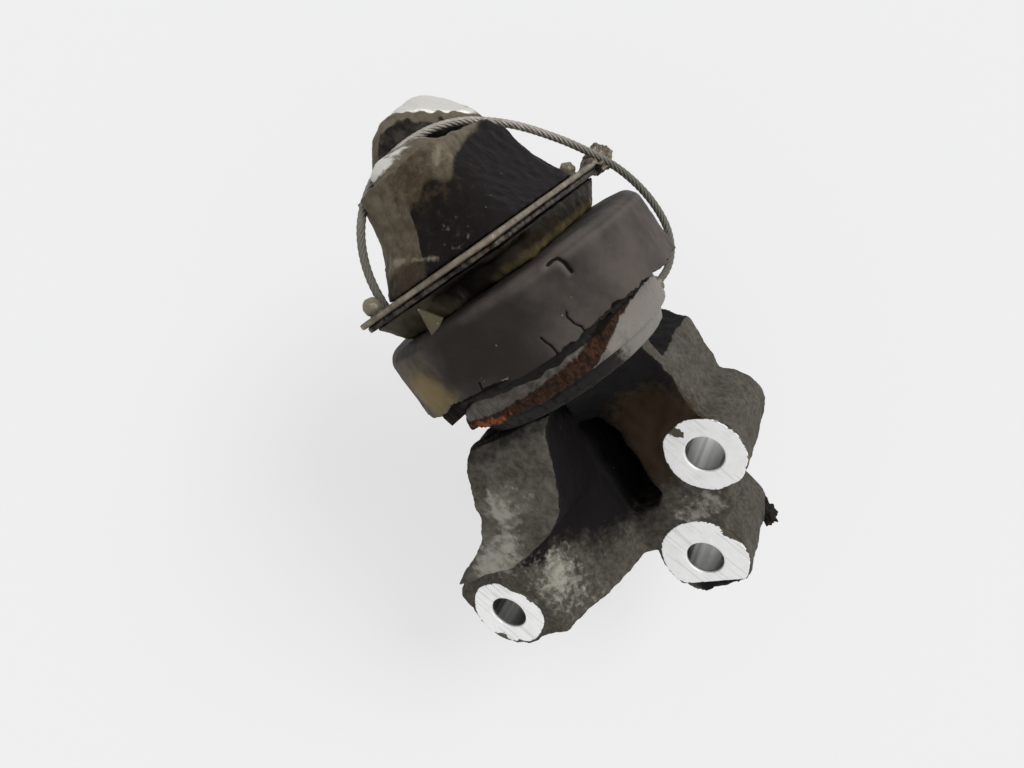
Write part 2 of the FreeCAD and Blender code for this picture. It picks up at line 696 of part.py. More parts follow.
def core():
    """The cast core, a plug that narrows downwards into the rubber."""
    body = turned("core", [
        ("0", "-6"),
        ("8", "-6"),
        ("core_radius", "6"),
        ("core_radius", "bell_base - 2 * sheet_thickness"),
        ("0", "bell_base - 2 * sheet_thickness"),
    ])
    hole = new_sketch(body, "XY_Plane", "core_hole", height="bell_base - 2 * sheet_thickness")
    circle(hole, "0", "0", "stud_radius + thread_gap")
    cut_away(body, hole, "stud_depth + fit_gap")
    return body


def core_stud():
    """The stud that holds the bell, both plates and the core together."""
    body = new_body("core_stud")
    sketch = new_sketch(body, "XY_Plane", "core_stud_section", height="bell_base + stud_reach")
    circle(sketch, "0", "0", "stud_radius")
    swept(body, "Pad", sketch, "stud_reach + 2 * sheet_thickness + stud_depth", reverse=True)
    return body


def rubber_spring():
    """The main rubber, a thick cone bonded between the core and the steel ring."""
    return turned("rubber_spring", [
        ("core_radius + 1.15 * fit_gap", "6"),
        ("core_radius + 1.15 * fit_gap", "7.8"),
        ("core_radius + 8", "7.4"),
        ("ring_inner_radius - fit_gap", "2"),
        ("ring_inner_radius - fit_gap", "stack_top"),
        ("ring_inner_radius - 4", "stack_top"),
        ("18", "-4"),
        ("8.25 + 1.15 * fit_gap", "-5.5"),
    ])


def support_ring():
    """The steel ring bonded round the rubber, with a foot flange in the crimped stack."""
    return turned("support_ring", [
        ("ring_inner_radius", "4"),
        ("ring_inner_radius", STACK["ring_foot"]),
        ("clamp_radius", STACK["ring_foot"]),
        ("clamp_radius", "stack_top"),
        ("ring_inner_radius + ring_wall", "stack_top"),
        ("ring_inner_radius + ring_wall", "4"),
    ])


def orifice_plate_upper():
    """A flat disc with a ring of windows over the decoupler."""
    body = turned("orifice_plate_upper", [
        ("0", STACK["upper_plate_foot"]),
        ("clamp_radius", STACK["upper_plate_foot"]),
        ("clamp_radius", STACK["ring_foot"]),
        ("0", STACK["ring_foot"]),
    ])
    window = new_sketch(body, "XY_Plane", "upper_window", height=STACK["ring_foot"])
    circle(window, "0.65 * window_radius", "0", "2.4")
    cut = cut_away(body, window, "flange_thickness")
    ring = body.newObject("PartDesign::PolarPattern", "upper_windows")
    ring.Originals = [cut]
    ring.Axis = (window, ["N_Axis"])
    ring.Angle = 360
    ring.Occurrences = 6
    body.Tip = ring
    DOCUMENT.recompute()
    return body


def orifice_plate_lower():
    """The lower disc, dished to hold the decoupler, with one opening below it."""
    return turned("orifice_plate_lower", [
        ("window_radius", "%s - 3" % STACK["lower_plate_foot"]),
        ("decoupler_radius + 2.4", "%s - 3" % STACK["lower_plate_foot"]),
        ("decoupler_radius + 2.4", STACK["lower_plate_foot"]),
        ("clamp_radius", STACK["lower_plate_foot"]),
        ("clamp_radius", STACK["upper_plate_foot"]),
        ("decoupler_radius + 0.4", STACK["upper_plate_foot"]),
        ("decoupler_radius + 0.4", "%s - 3" % STACK["upper_plate_foot"]),
        ("window_radius", "%s - 3" % STACK["upper_plate_foot"]),
    ])


def decoupler():
    """The loose rubber disc between the orifice plates."""
    return turned("decoupler", [
        ("0", "%s - 3 + 0.2" % STACK["upper_plate_foot"]),
        ("decoupler_radius", "%s - 3 + 0.2" % STACK["upper_plate_foot"]),
        ("decoupler_radius", "%s - 0.2" % STACK["upper_plate_foot"]),
        ("0", "%s - 0.2" % STACK["upper_plate_foot"]),
    ])


def diaphragm():
    """The thin bellows that closes the fluid from below."""
    return turned("diaphragm", [
        ("0", "bracket_top + 3.9"),
        ("24", "bracket_top + 3.9"),
        ("28", STACK["bead_foot"]),
        ("clamp_radius", STACK["bead_foot"]),
        ("clamp_radius", STACK["lower_plate_foot"]),
        ("27", STACK["lower_plate_foot"]),
        ("23.3", "bracket_top + 5"),
        ("0", "bracket_top + 5"),
    ])


def crimp_ring():
    """A rolled steel ring with both lips turned in over the stack of flanges."""
    outer = "clamp_radius + 0.2 + crimp_wall"
    return turned("crimp_ring", [
        ("ring_inner_radius + ring_wall + fit_gap", "stack_top + crimp_wall"),
        ("ring_inner_radius + ring_wall + fit_gap", "stack_top"),
        ("clamp_radius + 0.2", "stack_top"),
        ("clamp_radius + 0.2", STACK["cup_flange_foot"]),
        ("cup_shoulder_radius + fit_gap", STACK["cup_flange_foot"]),
        ("cup_shoulder_radius + fit_gap", "%s - crimp_wall" % STACK["cup_flange_foot"]),
        (outer, "%s - crimp_wall" % STACK["cup_flange_foot"]),
        (outer, "stack_top + crimp_wall"),
    ])


def lower_cup():
    """The pressed cup that closes the mount from below and stands on the bracket."""
    body = turned("lower_cup", [
        ("base_stud_radius + thread_gap", "bracket_top"),
        ("cup_foot_radius - 2", "bracket_top", "2.6"),
        ("cup_foot_radius", "bracket_top + 2"),
        ("cup_shoulder_radius", STACK["cup_flange_foot"]),
        ("clamp_radius", STACK["cup_flange_foot"]),
        ("clamp_radius", STACK["bead_foot"]),
        ("cup_shoulder_radius - 1.4", STACK["bead_foot"]),
        ("cup_foot_radius - cup_thickness", "bracket_top + 2.4"),
        ("cup_foot_radius - cup_thickness - 1", "bracket_top + cup_thickness"),
        ("base_stud_radius + thread_gap", "bracket_top + cup_thickness"),
    ])
    hole = new_sketch(body, "XY_Plane", "cup_pin_hole", height="bracket_top + cup_thickness")
    circle(hole, "pin_x", "pin_y", "pin_radius + thread_gap")
    cut_away(body, hole, "cup_thickness")
    return body


# ---------------------------------------------------------------- fixing of the mount to the bracket

def base_stud():
    """A stud with a thin flat head inside the cup, screwed down into the bracket."""
    return turned("base_stud", [
        ("0", "bracket_top - base_thread_depth + 0.5"),
        ("base_stud_radius", "bracket_top - base_thread_depth + 0.5"),
        ("base_stud_radius", "bracket_top + cup_thickness"),
        ("9", "bracket_top + cup_thickness"),
        ("9", "bracket_top + cup_thickness + 1.4"),
        ("0", "bracket_top + cup_thickness + 1.4"),
    ])


def locating_pin():
    """A short dowel that stops the mount from turning on the bracket."""
    body = new_body("locating_pin")
    sketch = new_sketch(body, "XY_Plane", "pin_section", height="bracket_top + cup_thickness")
    circle(sketch, "pin_x", "pin_y", "pin_radius")
    swept(body, "Pad", sketch, "cup_thickness + pin_depth - 0.5", reverse=True)
    return body


# ---------------------------------------------------------------- wire rope

# The rope lies in the upright plane of the head's groove: distance along the groove, height.
ROPE_ROUTE = [
    (-37.9, 19.2), (-37.9, 26.0), (-35.2, 37.0), (-28.8, 46.8), (-19.2, 54.0), (-8.5, 57.5),
    (3.5, 58.0), (13.5, 55.9), (23.0, 51.0), (31.6, 44.4), (39.8, 36.0), (47.2, 26.8),
    (53.5, 17.3), (57.4, 7.2), (58.6, -2.8), (57.6, -11.2), (52.8, -18.5), (45.0, -22.2),
    (37.2, -22.2),
]
BEND_SHARE = 0.45


def rope_points():
    """The route in space, with its heights counted from the load seat."""
    turn = math.radians(amount_of("head_turn"))
    seat = amount_of("seat_height")
    return [Vector(-along * math.sin(turn), along * math.cos(turn), height - seat)
            for along, height in ROPE_ROUTE]


def rounded_path(points):
    """Straight runs joined by tangent arcs; prints the radius of every arc."""
    edges = []
    here = points[0]
    radii = []
    for before, corner, after in zip(points, points[1:], points[2:]):
        back = before.sub(corner)
        onward = after.sub(corner)
        reach = BEND_SHARE * min(back.Length, onward.Length)
        turn = math.pi - back.getAngle(onward)
        radius = reach / math.tan(turn / 2)
        start = corner + back.normalize() * reach
        end = corner + onward.normalize() * reach
        inward = (back + onward).normalize()
        middle = corner + inward * (radius / math.cos(turn / 2) - radius)
        edges.append(Part.LineSegment(here, start).toShape())
        edges.append(Part.Arc(start, middle, end).toShape())
        here = end
        radii.append(radius)
    edges.append(Part.LineSegment(here, points[-1]).toShape())
    print("rope arc radii:", " ".join("%.1f" % radius for radius in radii))
    return Part.Wire(edges)


def limiter_rope():
    """The stranded steel rope as a plain round tube along its route."""
    points = rope_points()
    path = rounded_path(points)
    radius = amount_of("rope_radius")
    ring = Part.Circle(points[0], points[1].sub(points[0]), radius).toShape()
    solid = path.makePipeShell([Part.Wire(ring)], True, True)
    ideal = math.pi * radius * radius * path.Length
    print("rope length %.1f, volume %.1f of %.1f" % (path.Length, solid.Volume, ideal))
    if abs(solid.Volume / ideal - 1) > 0.01:
        raise ValueError("the rope's tube doesn't have the volume of its route")
    rope = DOCUMENT.addObject("Part::Feature", "limiter_rope")
    rope.Label = "limiter_rope"
    rope.Shape = solid
    SUB_PARTS.append(rope)
    return rope


def rope_anchor():
    """The swaged sleeve that holds the rope's lower end against the cup."""
    points = rope_points()
    end = points[-1]
    back = points[-2].sub(end).normalize()
    start = end - back * 1.2
    outer = Part.makeCylinder(amount_of("anchor_radius"), amount_of("anchor_length"), start, back)
    hole = Part.makeCylinder(amount_of("rope_radius + thread_gap"), amount_of("anchor_length"), end, back)
    anchor = DOCUMENT.addObject("Part::Feature", "rope_anchor")
    anchor.Label = "rope_anchor"
    anchor.Shape = outer.cut(hole)
    SUB_PARTS.append(anchor)
    return anchor


# ---------------------------------------------------------------- build, check and write

for build in (mount_bracket, bell_housing, limiter_plate, backing_plate, plate_rivets, stop_collar,
              rubber_boot, crimp_ring, lower_cup, core, core_stud, rubber_spring, support_ring,
              orifice_plate_upper, orifice_plate_lower, decoupler, diaphragm, base_stud,
              locating_pin, limiter_rope, rope_anchor):
    build()
DOCUMENT.recompute()

for item in DOCUMENT.Objects:
    if "Invalid" in item.State or "Error" in item.State:
        raise ValueError("%s failed: %s" % (item.Label, item.State))
for part in SUB_PARTS:
    if part.Shape.isNull() or not part.Shape.isValid() or not part.Shape.Solids:
        raise ValueError("%s has no valid solid" % part.Label)

os.makedirs("parts", exist_ok=True)
for part in SUB_PARTS:
    part.Shape.exportStep("parts/%s.step" % part.Label)
    print("%-20s solids %d volume %9.1f" % (part.Label, len(part.Shape.Solids), part.Shape.Volume))
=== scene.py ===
"""Look of a worn hydraulic engine mount: cast bell, rubber boot, cast bracket and limiter rope.

Every place is counted from the middle of the rubber boot: x and y in millimetres as in the frame,
h in millimetres above the boot's middle.  The row's own heights come from the boot's box.
"""
import json
import math

import bmesh
import bpy
import numpy as np
from mathutils import Matrix, Vector


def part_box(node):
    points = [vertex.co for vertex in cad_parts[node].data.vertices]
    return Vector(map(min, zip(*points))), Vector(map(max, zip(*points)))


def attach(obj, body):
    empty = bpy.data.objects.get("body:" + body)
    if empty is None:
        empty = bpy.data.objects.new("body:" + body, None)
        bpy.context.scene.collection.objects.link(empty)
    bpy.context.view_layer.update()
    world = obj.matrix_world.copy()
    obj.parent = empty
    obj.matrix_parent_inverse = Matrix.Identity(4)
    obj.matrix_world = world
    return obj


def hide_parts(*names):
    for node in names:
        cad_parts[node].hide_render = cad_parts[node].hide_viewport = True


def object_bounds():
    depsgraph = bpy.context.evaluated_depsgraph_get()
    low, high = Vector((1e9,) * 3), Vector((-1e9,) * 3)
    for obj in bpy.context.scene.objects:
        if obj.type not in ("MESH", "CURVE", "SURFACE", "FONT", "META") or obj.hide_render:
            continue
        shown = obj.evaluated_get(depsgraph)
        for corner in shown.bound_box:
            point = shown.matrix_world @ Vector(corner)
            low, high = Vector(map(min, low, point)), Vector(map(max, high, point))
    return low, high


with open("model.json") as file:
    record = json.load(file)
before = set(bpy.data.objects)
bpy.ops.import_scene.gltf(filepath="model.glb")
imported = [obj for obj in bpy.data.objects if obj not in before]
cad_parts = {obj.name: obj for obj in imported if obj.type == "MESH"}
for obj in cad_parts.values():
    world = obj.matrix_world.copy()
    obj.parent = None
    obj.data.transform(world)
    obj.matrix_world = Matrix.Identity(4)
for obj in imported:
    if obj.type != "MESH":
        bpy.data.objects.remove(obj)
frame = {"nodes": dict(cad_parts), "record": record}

CAD_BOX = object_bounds()
MM = 0.001
BOOT_LOW, BOOT_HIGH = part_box("rubber_boot")
BOOT_MIDDLE = (BOOT_LOW.z + BOOT_HIGH.z) / 2
MOUNTS = {mount["name"]: mount for mount in frame["record"]["mounts"]}
SCENE = bpy.context.scene

# direction of the rope groove and the direction across it, towards the lip
GROOVE = np.array((0.5407, 0.8412))
ACROSS = np.array((0.8412, -0.5407))


# ---------------------------------------------------------------- places and numbers

def place(points):
    """Points in millimetres about the boot's middle, as metres in the row frame."""
    moved = np.asarray(points, float) * MM
    moved[..., 2] += BOOT_MIDDLE
    return moved


def local(points):
    """Points of the row frame in metres, as millimetres about the boot's middle."""
    moved = np.array(points, float)
    moved[..., 2] -= BOOT_MIDDLE
    return moved / MM


def step(low, high, value):
    """Rises smoothly from 0 at low to 1 at high."""
    share = np.clip((value - low) / (high - low), 0, 1)
    return share * share * (3 - 2 * share)


def ripples(points, wavelength, seed, waves=28):
    """Smooth noise of about unit size: a sum of plane waves in seeded directions."""
    chance = np.random.default_rng(seed)
    axes = chance.normal(size=(waves, points.shape[-1]))
    axes /= np.linalg.norm(axes, axis=1)[:, None]
    axes *= 2 * np.pi / wavelength * chance.uniform(0.6, 1.5, (waves, 1))
    phases = chance.uniform(0, 2 * np.pi, waves)
    return np.cos(points @ axes.T + phases).sum(-1) / math.sqrt(waves / 2)


def hump(value, middle, width):
    """A bell curve: 1 where value is at the middle, falling off over the width."""
    return np.exp(-((value - middle) / width) ** 2)


def full_turn(count):
    """Angles of count even steps round a circle, and their cosines and sines."""
    angles = np.linspace(0, 2 * np.pi, count + 1)[:-1]
    return angles, np.column_stack((np.cos(angles), np.sin(angles)))


def signed_degrees(angles):
    """Angles in radians as degrees from -180 to 180."""
    return np.degrees((angles + np.pi) % (2 * np.pi) - np.pi)


def node_box(node):
    """Low and high corner of a CAD node, in millimetres about the boot's middle."""
    low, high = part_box(node)
    return local(low), local(high)


def spots(points, marks):
    """Sum of soft spots (x, y, h, reach, strength), each a bell curve of its distance."""
    total = np.zeros(len(points))
    for x, y, h, reach, strength in marks:
        square = ((points - np.array((x, y, h))) ** 2).sum(1)
        total += strength * np.exp(-square / (2 * reach * reach))
    return total


def line_distance(points, line):
    """Distance from each point to the nearest point of a line through the given corners."""
    line = np.asarray(line, float)
    nearest = np.full(len(points), 1e9)
    for start, end in zip(line[:-1], line[1:]):
        run = end - start
        along = np.clip((points - start) @ run / (run @ run), 0, 1)
        gap = np.linalg.norm(points - start - along[:, None] * run, axis=1)
        nearest = np.minimum(nearest, gap)
    return nearest


def loop_points(corners, spacing):
    """A closed outline with points at most spacing apart on each side."""
    made = []
    for start, end in zip(corners, corners[1:] + corners[:1]):
        start, end = np.array(start, float), np.array(end, float)
        count = max(1, math.ceil(np.linalg.norm(end - start) / spacing))
        made += [start + (end - start) * index / count for index in range(count)]
    return np.array(made)


# ---------------------------------------------------------------- meshes

def grid_faces(rows, columns, close_rows=False, close_columns=True):
    """Quads of a rows x columns grid of vertices, closed round either way."""
    r = np.arange(rows if close_rows else rows - 1)
    c = np.arange(columns if close_columns else columns - 1)
    r, c = np.meshgrid(r, c, indexing="ij")
    after_r, after_c = (r + 1) % rows, (c + 1) % columns
    corners = (r * columns + c, r * columns + after_c, after_r * columns + after_c, after_r * columns + c)
    return np.stack(corners, -1).reshape(-1, 4)


def make_piece(name, material, points, faces, marks=None, uv=None):
    """A piece from points in the row frame and quads; marks are values kept on its vertices."""
    mesh = bpy.data.meshes.new(name)
    mesh.from_pydata(np.asarray(points).tolist(), [], np.asarray(faces).tolist())
    return dress(name, material, mesh, marks, uv)


def dress(name, material, mesh, marks=None, uv=None):
    """Makes the mesh a piece that rides on the root, with its material and painted values.

    No piece reaches out of the CAD model's box.
    """
    values = np.zeros(len(mesh.vertices) * 3)
    mesh.vertices.foreach_get("co", values)
    inside = np.clip(values.reshape(-1, 3), np.array(CAD_BOX[0]), np.array(CAD_BOX[1]))
    mesh.vertices.foreach_set("co", inside.ravel())
    mesh.polygons.foreach_set("use_smooth", np.ones(len(mesh.polygons), bool))
    for label, values in (marks or {}).items():
        kept = mesh.attributes.new(label, "FLOAT", "POINT")
        kept.data.foreach_set("value", np.asarray(values, np.float32))
    if uv is not None:
        layer = mesh.uv_layers.new(name="along")
        corner = np.zeros(len(mesh.loops), np.int32)
        mesh.loops.foreach_get("vertex_index", corner)
        layer.data.foreach_set("uv", np.asarray(uv, np.float32)[corner].ravel())
    mesh.validate()
    mesh.update()
    mesh.materials.clear()
    mesh.materials.append(material)
    piece = bpy.data.objects.new(name, mesh)
    SCENE.collection.objects.link(piece)
    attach(piece, "root")
    return piece


def turned_points(profile, angles):
    """Rows of points: the profile's (radius, height) turned to every angle."""
    radius, height = profile[..., 0], profile[..., 1]
    if radius.ndim == 1:
        radius, height = radius[:, None], height[:, None]
    x = radius * np.cos(angles)
    y = radius * np.sin(angles)
    return np.stack((x, y, np.broadcast_to(height, x.shape)), -1)


class Casting:
    """A voxel copy of a CAD node, as arrays that can be smoothed, worn and painted."""

    def __init__(self, node, grain):
        mesh = frame["nodes"][node].data.copy()
        shell = bmesh.new()
        shell.from_mesh(mesh)
        bmesh.ops.remove_doubles(shell, verts=shell.verts, dist=1e-6)
        shell.to_mesh(mesh)
        shell.free()
        holder = bpy.data.objects.new(node + "_blank", mesh)
        SCENE.collection.objects.link(holder)
        remesh = holder.modifiers.new("voxels", "REMESH")
        remesh.mode = "VOXEL"
        remesh.voxel_size = grain * MM
        graph = bpy.context.evaluated_depsgraph_get()
        self.mesh = bpy.data.meshes.new_from_object(holder.evaluated_get(graph))
        bpy.data.objects.remove(holder)
        self.node = node
        values = np.zeros(len(self.mesh.vertices) * 3)
        self.mesh.vertices.foreach_get("co", values)
        self.points = local(values.reshape(-1, 3))
        pairs = np.zeros(len(self.mesh.edges) * 2, np.int64)
        self.mesh.edges.foreach_get("vertices", pairs)
        self.edges = pairs.reshape(-1, 2)
        self.read_normals()

    def read_normals(self):
        """Writes the points back to the mesh and reads its vertex normals."""
        values = np.zeros(len(self.mesh.vertices) * 3)
        self.mesh.vertices.foreach_set("co", place(self.points).ravel())
        self.mesh.update()
        self.mesh.vertex_normals.foreach_get("vector", values)
        self.normals = values.reshape(-1, 3)

    def neighbours_mean(self, values):
        """Mean of the values over each vertex's neighbours."""
        count = len(self.points)
        start, end = self.edges.T
        share = np.bincount(self.edges.ravel(), minlength=count)[:, None]
        total = np.zeros((count, values.shape[1]))
        for column in range(values.shape[1]):
            total[:, column] += np.bincount(start, values[end, column], count)
            total[:, column] += np.bincount(end, values[start, column], count)
        return total / share

    def smooth(self, rounds, firm=None):
        """Relaxes the surface; the voxels' steps go, and firm (0 to 1) holds vertices back."""
        pull = 0.5 if firm is None else 0.5 * (1 - firm[:, None])
        for _ in range(rounds):
            self.points += pull * (self.neighbours_mean(self.points) - self.points)
        self.read_normals()

    def push(self, distance):
        """Moves each vertex along its normal by a distance in millimetres."""
        self.points += self.normals * np.asarray(distance)[:, None]
        self.read_normals()

    def edge_wear(self, rounds=3):
        """About 1 on sharp convex edges, negative in corners: the normal part of the Laplacian."""
        bend = ((self.points - self.neighbours_mean(self.points)) * self.normals).sum(1)[:, None]
        for _ in range(rounds):
            bend = 0.5 * bend + 0.5 * self.neighbours_mean(bend)
        return bend[:, 0] / (np.percentile(np.abs(bend), 98) + 1e-9)

    def piece(self, name, slot, material, marks):
        """The worn copy as a piece that stands in the place of its CAD node."""
        made = dress(name, material, self.mesh, marks)
        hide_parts(self.node)
        return made


# ---------------------------------------------------------------- shader building blocks

def colour(red, green, blue):
    """A colour given as on a screen (0 to 255), as linear values with alpha."""
    screen = np.array((red, green, blue)) / 255
    linear = np.where(screen <= 0.04045, screen / 12.92, ((screen + 0.055) / 1.055) ** 2.4)
    return (*linear.tolist(), 1.0)


def add_node(tree, kind, inputs=None, **settings):
    """A shader node with its settings, and its inputs set to values or linked to sockets."""
    made = tree.nodes.new("ShaderNode" + kind)
    for key, value in settings.items():
        setattr(made, key, value)
    for key, value in (inputs or {}).items():
        if isinstance(value, bpy.types.NodeSocket):
            tree.links.new(value, made.inputs[key])
        else:
            made.inputs[key].default_value = value
    return made


def mixed(tree, share, first, second):
    """Colour between first and second by share."""
    made = add_node(tree, "Mix", {0: share, 6: first, 7: second}, data_type="RGBA")
    return made.outputs[2]


def maths(tree, operation, first, second):
    """The result of a maths node on two values; SINE reads the first only."""
    return add_node(tree, "Math", {0: first, 1: second}, operation=operation).outputs[0]


def between(tree, value, low, high, start=0.0, end=1.0):
    """Value mapped smoothly from low..high to start..end."""
    made = add_node(tree, "MapRange", {"Value": value, "From Min": low, "From Max": high,
                                       "To Min": start, "To Max": end}, interpolation_type="SMOOTHSTEP")
    return made.outputs["Result"]


def mark(tree, name):
    """A value painted on the vertices."""
    return add_node(tree, "Attribute", attribute_name=name).outputs["Fac"]


def new_group(name, inputs, outputs):
    """A shader node group with named sockets, and its two end nodes."""
    group = bpy.data.node_groups.new(name, "ShaderNodeTree")
    for label, amount in inputs:
        socket = group.interface.new_socket(label, in_out="INPUT", socket_type="NodeSocketFloat")
        socket.default_value = amount
    for label in outputs:
        group.interface.new_socket(label, in_out="OUTPUT", socket_type="NodeSocketFloat")
    return group, group.nodes.new("NodeGroupInput"), group.nodes.new("NodeGroupOutput")


def patches_group():
    """Ragged patches: noise plus a bias, cut at one half with a soft or a crisp edge."""
    group, given, result = new_group(
        "patches", (("Scale", 200.0), ("Bias", 0.0), ("Edge", 0.1)), ("Mask",))
    where = add_node(group, "TexCoord").outputs["Object"]
    noise = add_node(group, "TexNoise", {"Vector": where, "Scale": given.outputs["Scale"],
                                         "Detail": 6.0, "Roughness": 0.62})
    level = maths(group, "ADD", noise.outputs["Fac"], given.outputs["Bias"])
    low = maths(group, "SUBTRACT", 0.5, given.outputs["Edge"])
    high = maths(group, "ADD", 0.5, given.outputs["Edge"])
    group.links.new(between(group, level, low, high), result.inputs["Mask"])
    return group


def grain_group():
    """Sand-cast skin: a coarse and a fine noise with small pits, and sparse bright specks that are painted
    glints.
    """
    group, given, result = new_group("cast_grain", (("Scale", 900.0),), ("Height", "Speck"))
    where = add_node(group, "TexCoord").outputs["Object"]
    fine = add_node(group, "TexNoise", {"Vector": where, "Scale": given.outputs["Scale"],
                                        "Detail": 5.0, "Roughness": 0.6})
    coarse = add_node(group, "TexNoise", {
        "Vector": where, "Scale": maths(group, "MULTIPLY", given.outputs["Scale"], 0.22), "Detail": 3.0})
    pit = add_node(group, "TexVoronoi", {
        "Vector": where, "Scale": maths(group, "MULTIPLY", given.outputs["Scale"], 0.6)})
    height = maths(group, "ADD", maths(group, "MULTIPLY", fine.outputs["Fac"], 0.5),
                  maths(group, "MULTIPLY", coarse.outputs["Fac"], 0.8))
    height = maths(group, "ADD", height, between(group, pit.outputs["Distance"], 0.0, 0.35, 0.0, 0.25))
    group.links.new(height, result.inputs["Height"])
    cell = add_node(group, "TexVoronoi", {
        "Vector": where, "Scale": maths(group, "MULTIPLY", given.outputs["Scale"], 0.35)})
    near = between(group, cell.outputs["Distance"], 0.10, 0.05)
    rare = between(group, cell.outputs["Color"], 0.80, 0.84)
    group.links.new(maths(group, "MULTIPLY", near, rare), result.inputs["Speck"])
    return group


def scratch_group():
    """Fine straight scratches in one direction: noise stretched along it, cut to thin lines."""
    group, given, result = new_group(
        "scratches", (("Turn", 0.0), ("Scale", 700.0), ("Amount", 0.5)), ("Mask", "Height"))
    where = add_node(group, "TexCoord").outputs["Object"]
    turn = add_node(group, "VectorRotate", {"Vector": where, "Angle": given.outputs["Turn"]},
                    rotation_type="Y_AXIS")
    squeeze = add_node(group, "Mapping", {"Vector": turn.outputs["Vector"], "Scale": (1.0, 0.3, 0.06)})
    noise = add_node(group, "TexNoise", {"Vector": squeeze.outputs["Vector"],
                                         "Scale": given.outputs["Scale"], "Detail": 4.0})
    low = maths(group, "SUBTRACT", 0.72, maths(group, "MULTIPLY", given.outputs["Amount"], 0.25))
    lines = between(group, noise.outputs["Fac"], low, maths(group, "ADD", low, 0.05))
    group.links.new(lines, result.inputs["Mask"])
    group.links.new(noise.outputs["Fac"], result.inputs["Height"])
    return group


PATCHES = patches_group()
GRAIN = grain_group()
SCRATCHES = scratch_group()


def group_node(tree, group, inputs):
    """A node group placed in a material, its inputs set to values or linked to sockets."""
    made = tree.nodes.new("ShaderNodeGroup")
    made.node_tree = group
    for key, value in inputs.items():
        if isinstance(value, bpy.types.NodeSocket):
            tree.links.new(value, made.inputs[key])
        else:
            made.inputs[key].default_value = value
    return made


def patch(tree, scale, bias, edge=0.1):
    """Mask of ragged patches; a bias of 0 covers about half."""
    return group_node(tree, PATCHES, {"Scale": scale, "Bias": bias, "Edge": edge}).outputs["Mask"]


def new_material(name):
    """A node material with its Principled BSDF."""
    material = bpy.data.materials.new(name)
    material.use_nodes = True
    return material, material.node_tree, material.node_tree.nodes["Principled BSDF"]


def connect(tree, shader, inputs, height=None, depth=0.1, reach=0.0004):
    """Feeds the shader's inputs with sockets or constants, and a bump from height."""
    for key, value in inputs.items():
        if isinstance(value, bpy.types.NodeSocket):
            tree.links.new(value, shader.inputs[key])
        else:
            shader.inputs[key].default_value = value
    if height is not None:
        bump = add_node(tree, "Bump", {"Height": height, "Strength": depth, "Distance": reach})
        tree.links.new(bump.outputs["Normal"], shader.inputs["Normal"])


# ---------------------------------------------------------------- finishes

def cast_finish(name, skin, skin_other, soot_and_shade, earth, chalk, bare_and_lit, rough=0.62):
    """Cast metal under road dirt and oil.

    Painted values: soot_and_shade darkens, as grime and oil and as painted shade in corners, in the
    rope groove, under the cup and on faces turned from the light; earth browns, chalk whitens in
    ragged flecks, light lifts the skin to a paler tone, as dusty patches and as painted light on
    faces turned to the light; and bare_and_lit or edge_wear show the metal.
    """
    material, tree, shader = new_material(name)
    grain = group_node(tree, GRAIN, {"Scale": 1100.0})
    tone = mixed(tree, patch(tree, 130.0, 0.0, 0.22), skin, skin_other)
    cloud = patch(tree, 620.0, -0.01, 0.13)
    tone = mixed(tree, maths(tree, "MULTIPLY", cloud, 0.42), tone, soot_and_shade)
    # paler where the light mark is painted: dusty patches, and painted light on faces turned to the light
    lifted = patch(tree, 240.0, maths(tree, "SUBTRACT", mark(tree, "light"), 0.5), 0.2)
    tone = mixed(tree, lifted, tone, lit_and_dusty_skin(tree, skin_other, chalk))
    # darker where grime and oil are painted, and where painted shade is painted
    black = patch(tree, 260.0, maths(tree, "SUBTRACT", mark(tree, "soot_and_shade"), 0.5), 0.3)
    tone = mixed(tree, black, tone, soot_and_shade)
    brown = patch(tree, 420.0, maths(tree, "SUBTRACT", mark(tree, "earth"), 0.5), 0.24)
    tone = mixed(tree, brown, tone, earth)
    flecks = patch(tree, 380.0, maths(tree, "SUBTRACT", mark(tree, "chalk"), 0.5), 0.17)
    tone = mixed(tree, flecks, tone, chalk)
    worn = maths(tree, "ADD", mark(tree, "bare_and_lit"), maths(tree, "MULTIPLY", mark(tree, "edge_wear"), 0.2))
    shown = patch(tree, 330.0, maths(tree, "SUBTRACT", worn, 0.5), 0.16)
    tone = mixed(tree, shown, tone, bare_and_lit)
    # sparse bright specks: painted glints
    tone = mixed(tree, maths(tree, "MULTIPLY", grain.outputs["Speck"], 0.7), tone, chalk)
    connect(tree, shader, {
        "Base Color": tone,
        "Metallic": maths(tree, "MULTIPLY", shown, 0.3),
        "Specular IOR Level": 0.07,
        "Roughness": between(tree, maths(tree, "SUBTRACT", grain.outputs["Height"], shown), -0.6, 1.4,
                             rough - 0.14, rough + 0.12),
    }, grain.outputs["Height"], 0.55, 0.0005)
    return material


def lit_and_dusty_skin(tree, skin, chalk):
    """The skin's colour in patches with one that is 0.45 of the way from it to the chalk's."""
    paler = tuple(0.55 * a + 0.45 * b for a, b in zip(skin, chalk))
    return mixed(tree, patch(tree, 300.0, 0.0, 0.3), skin, paler)


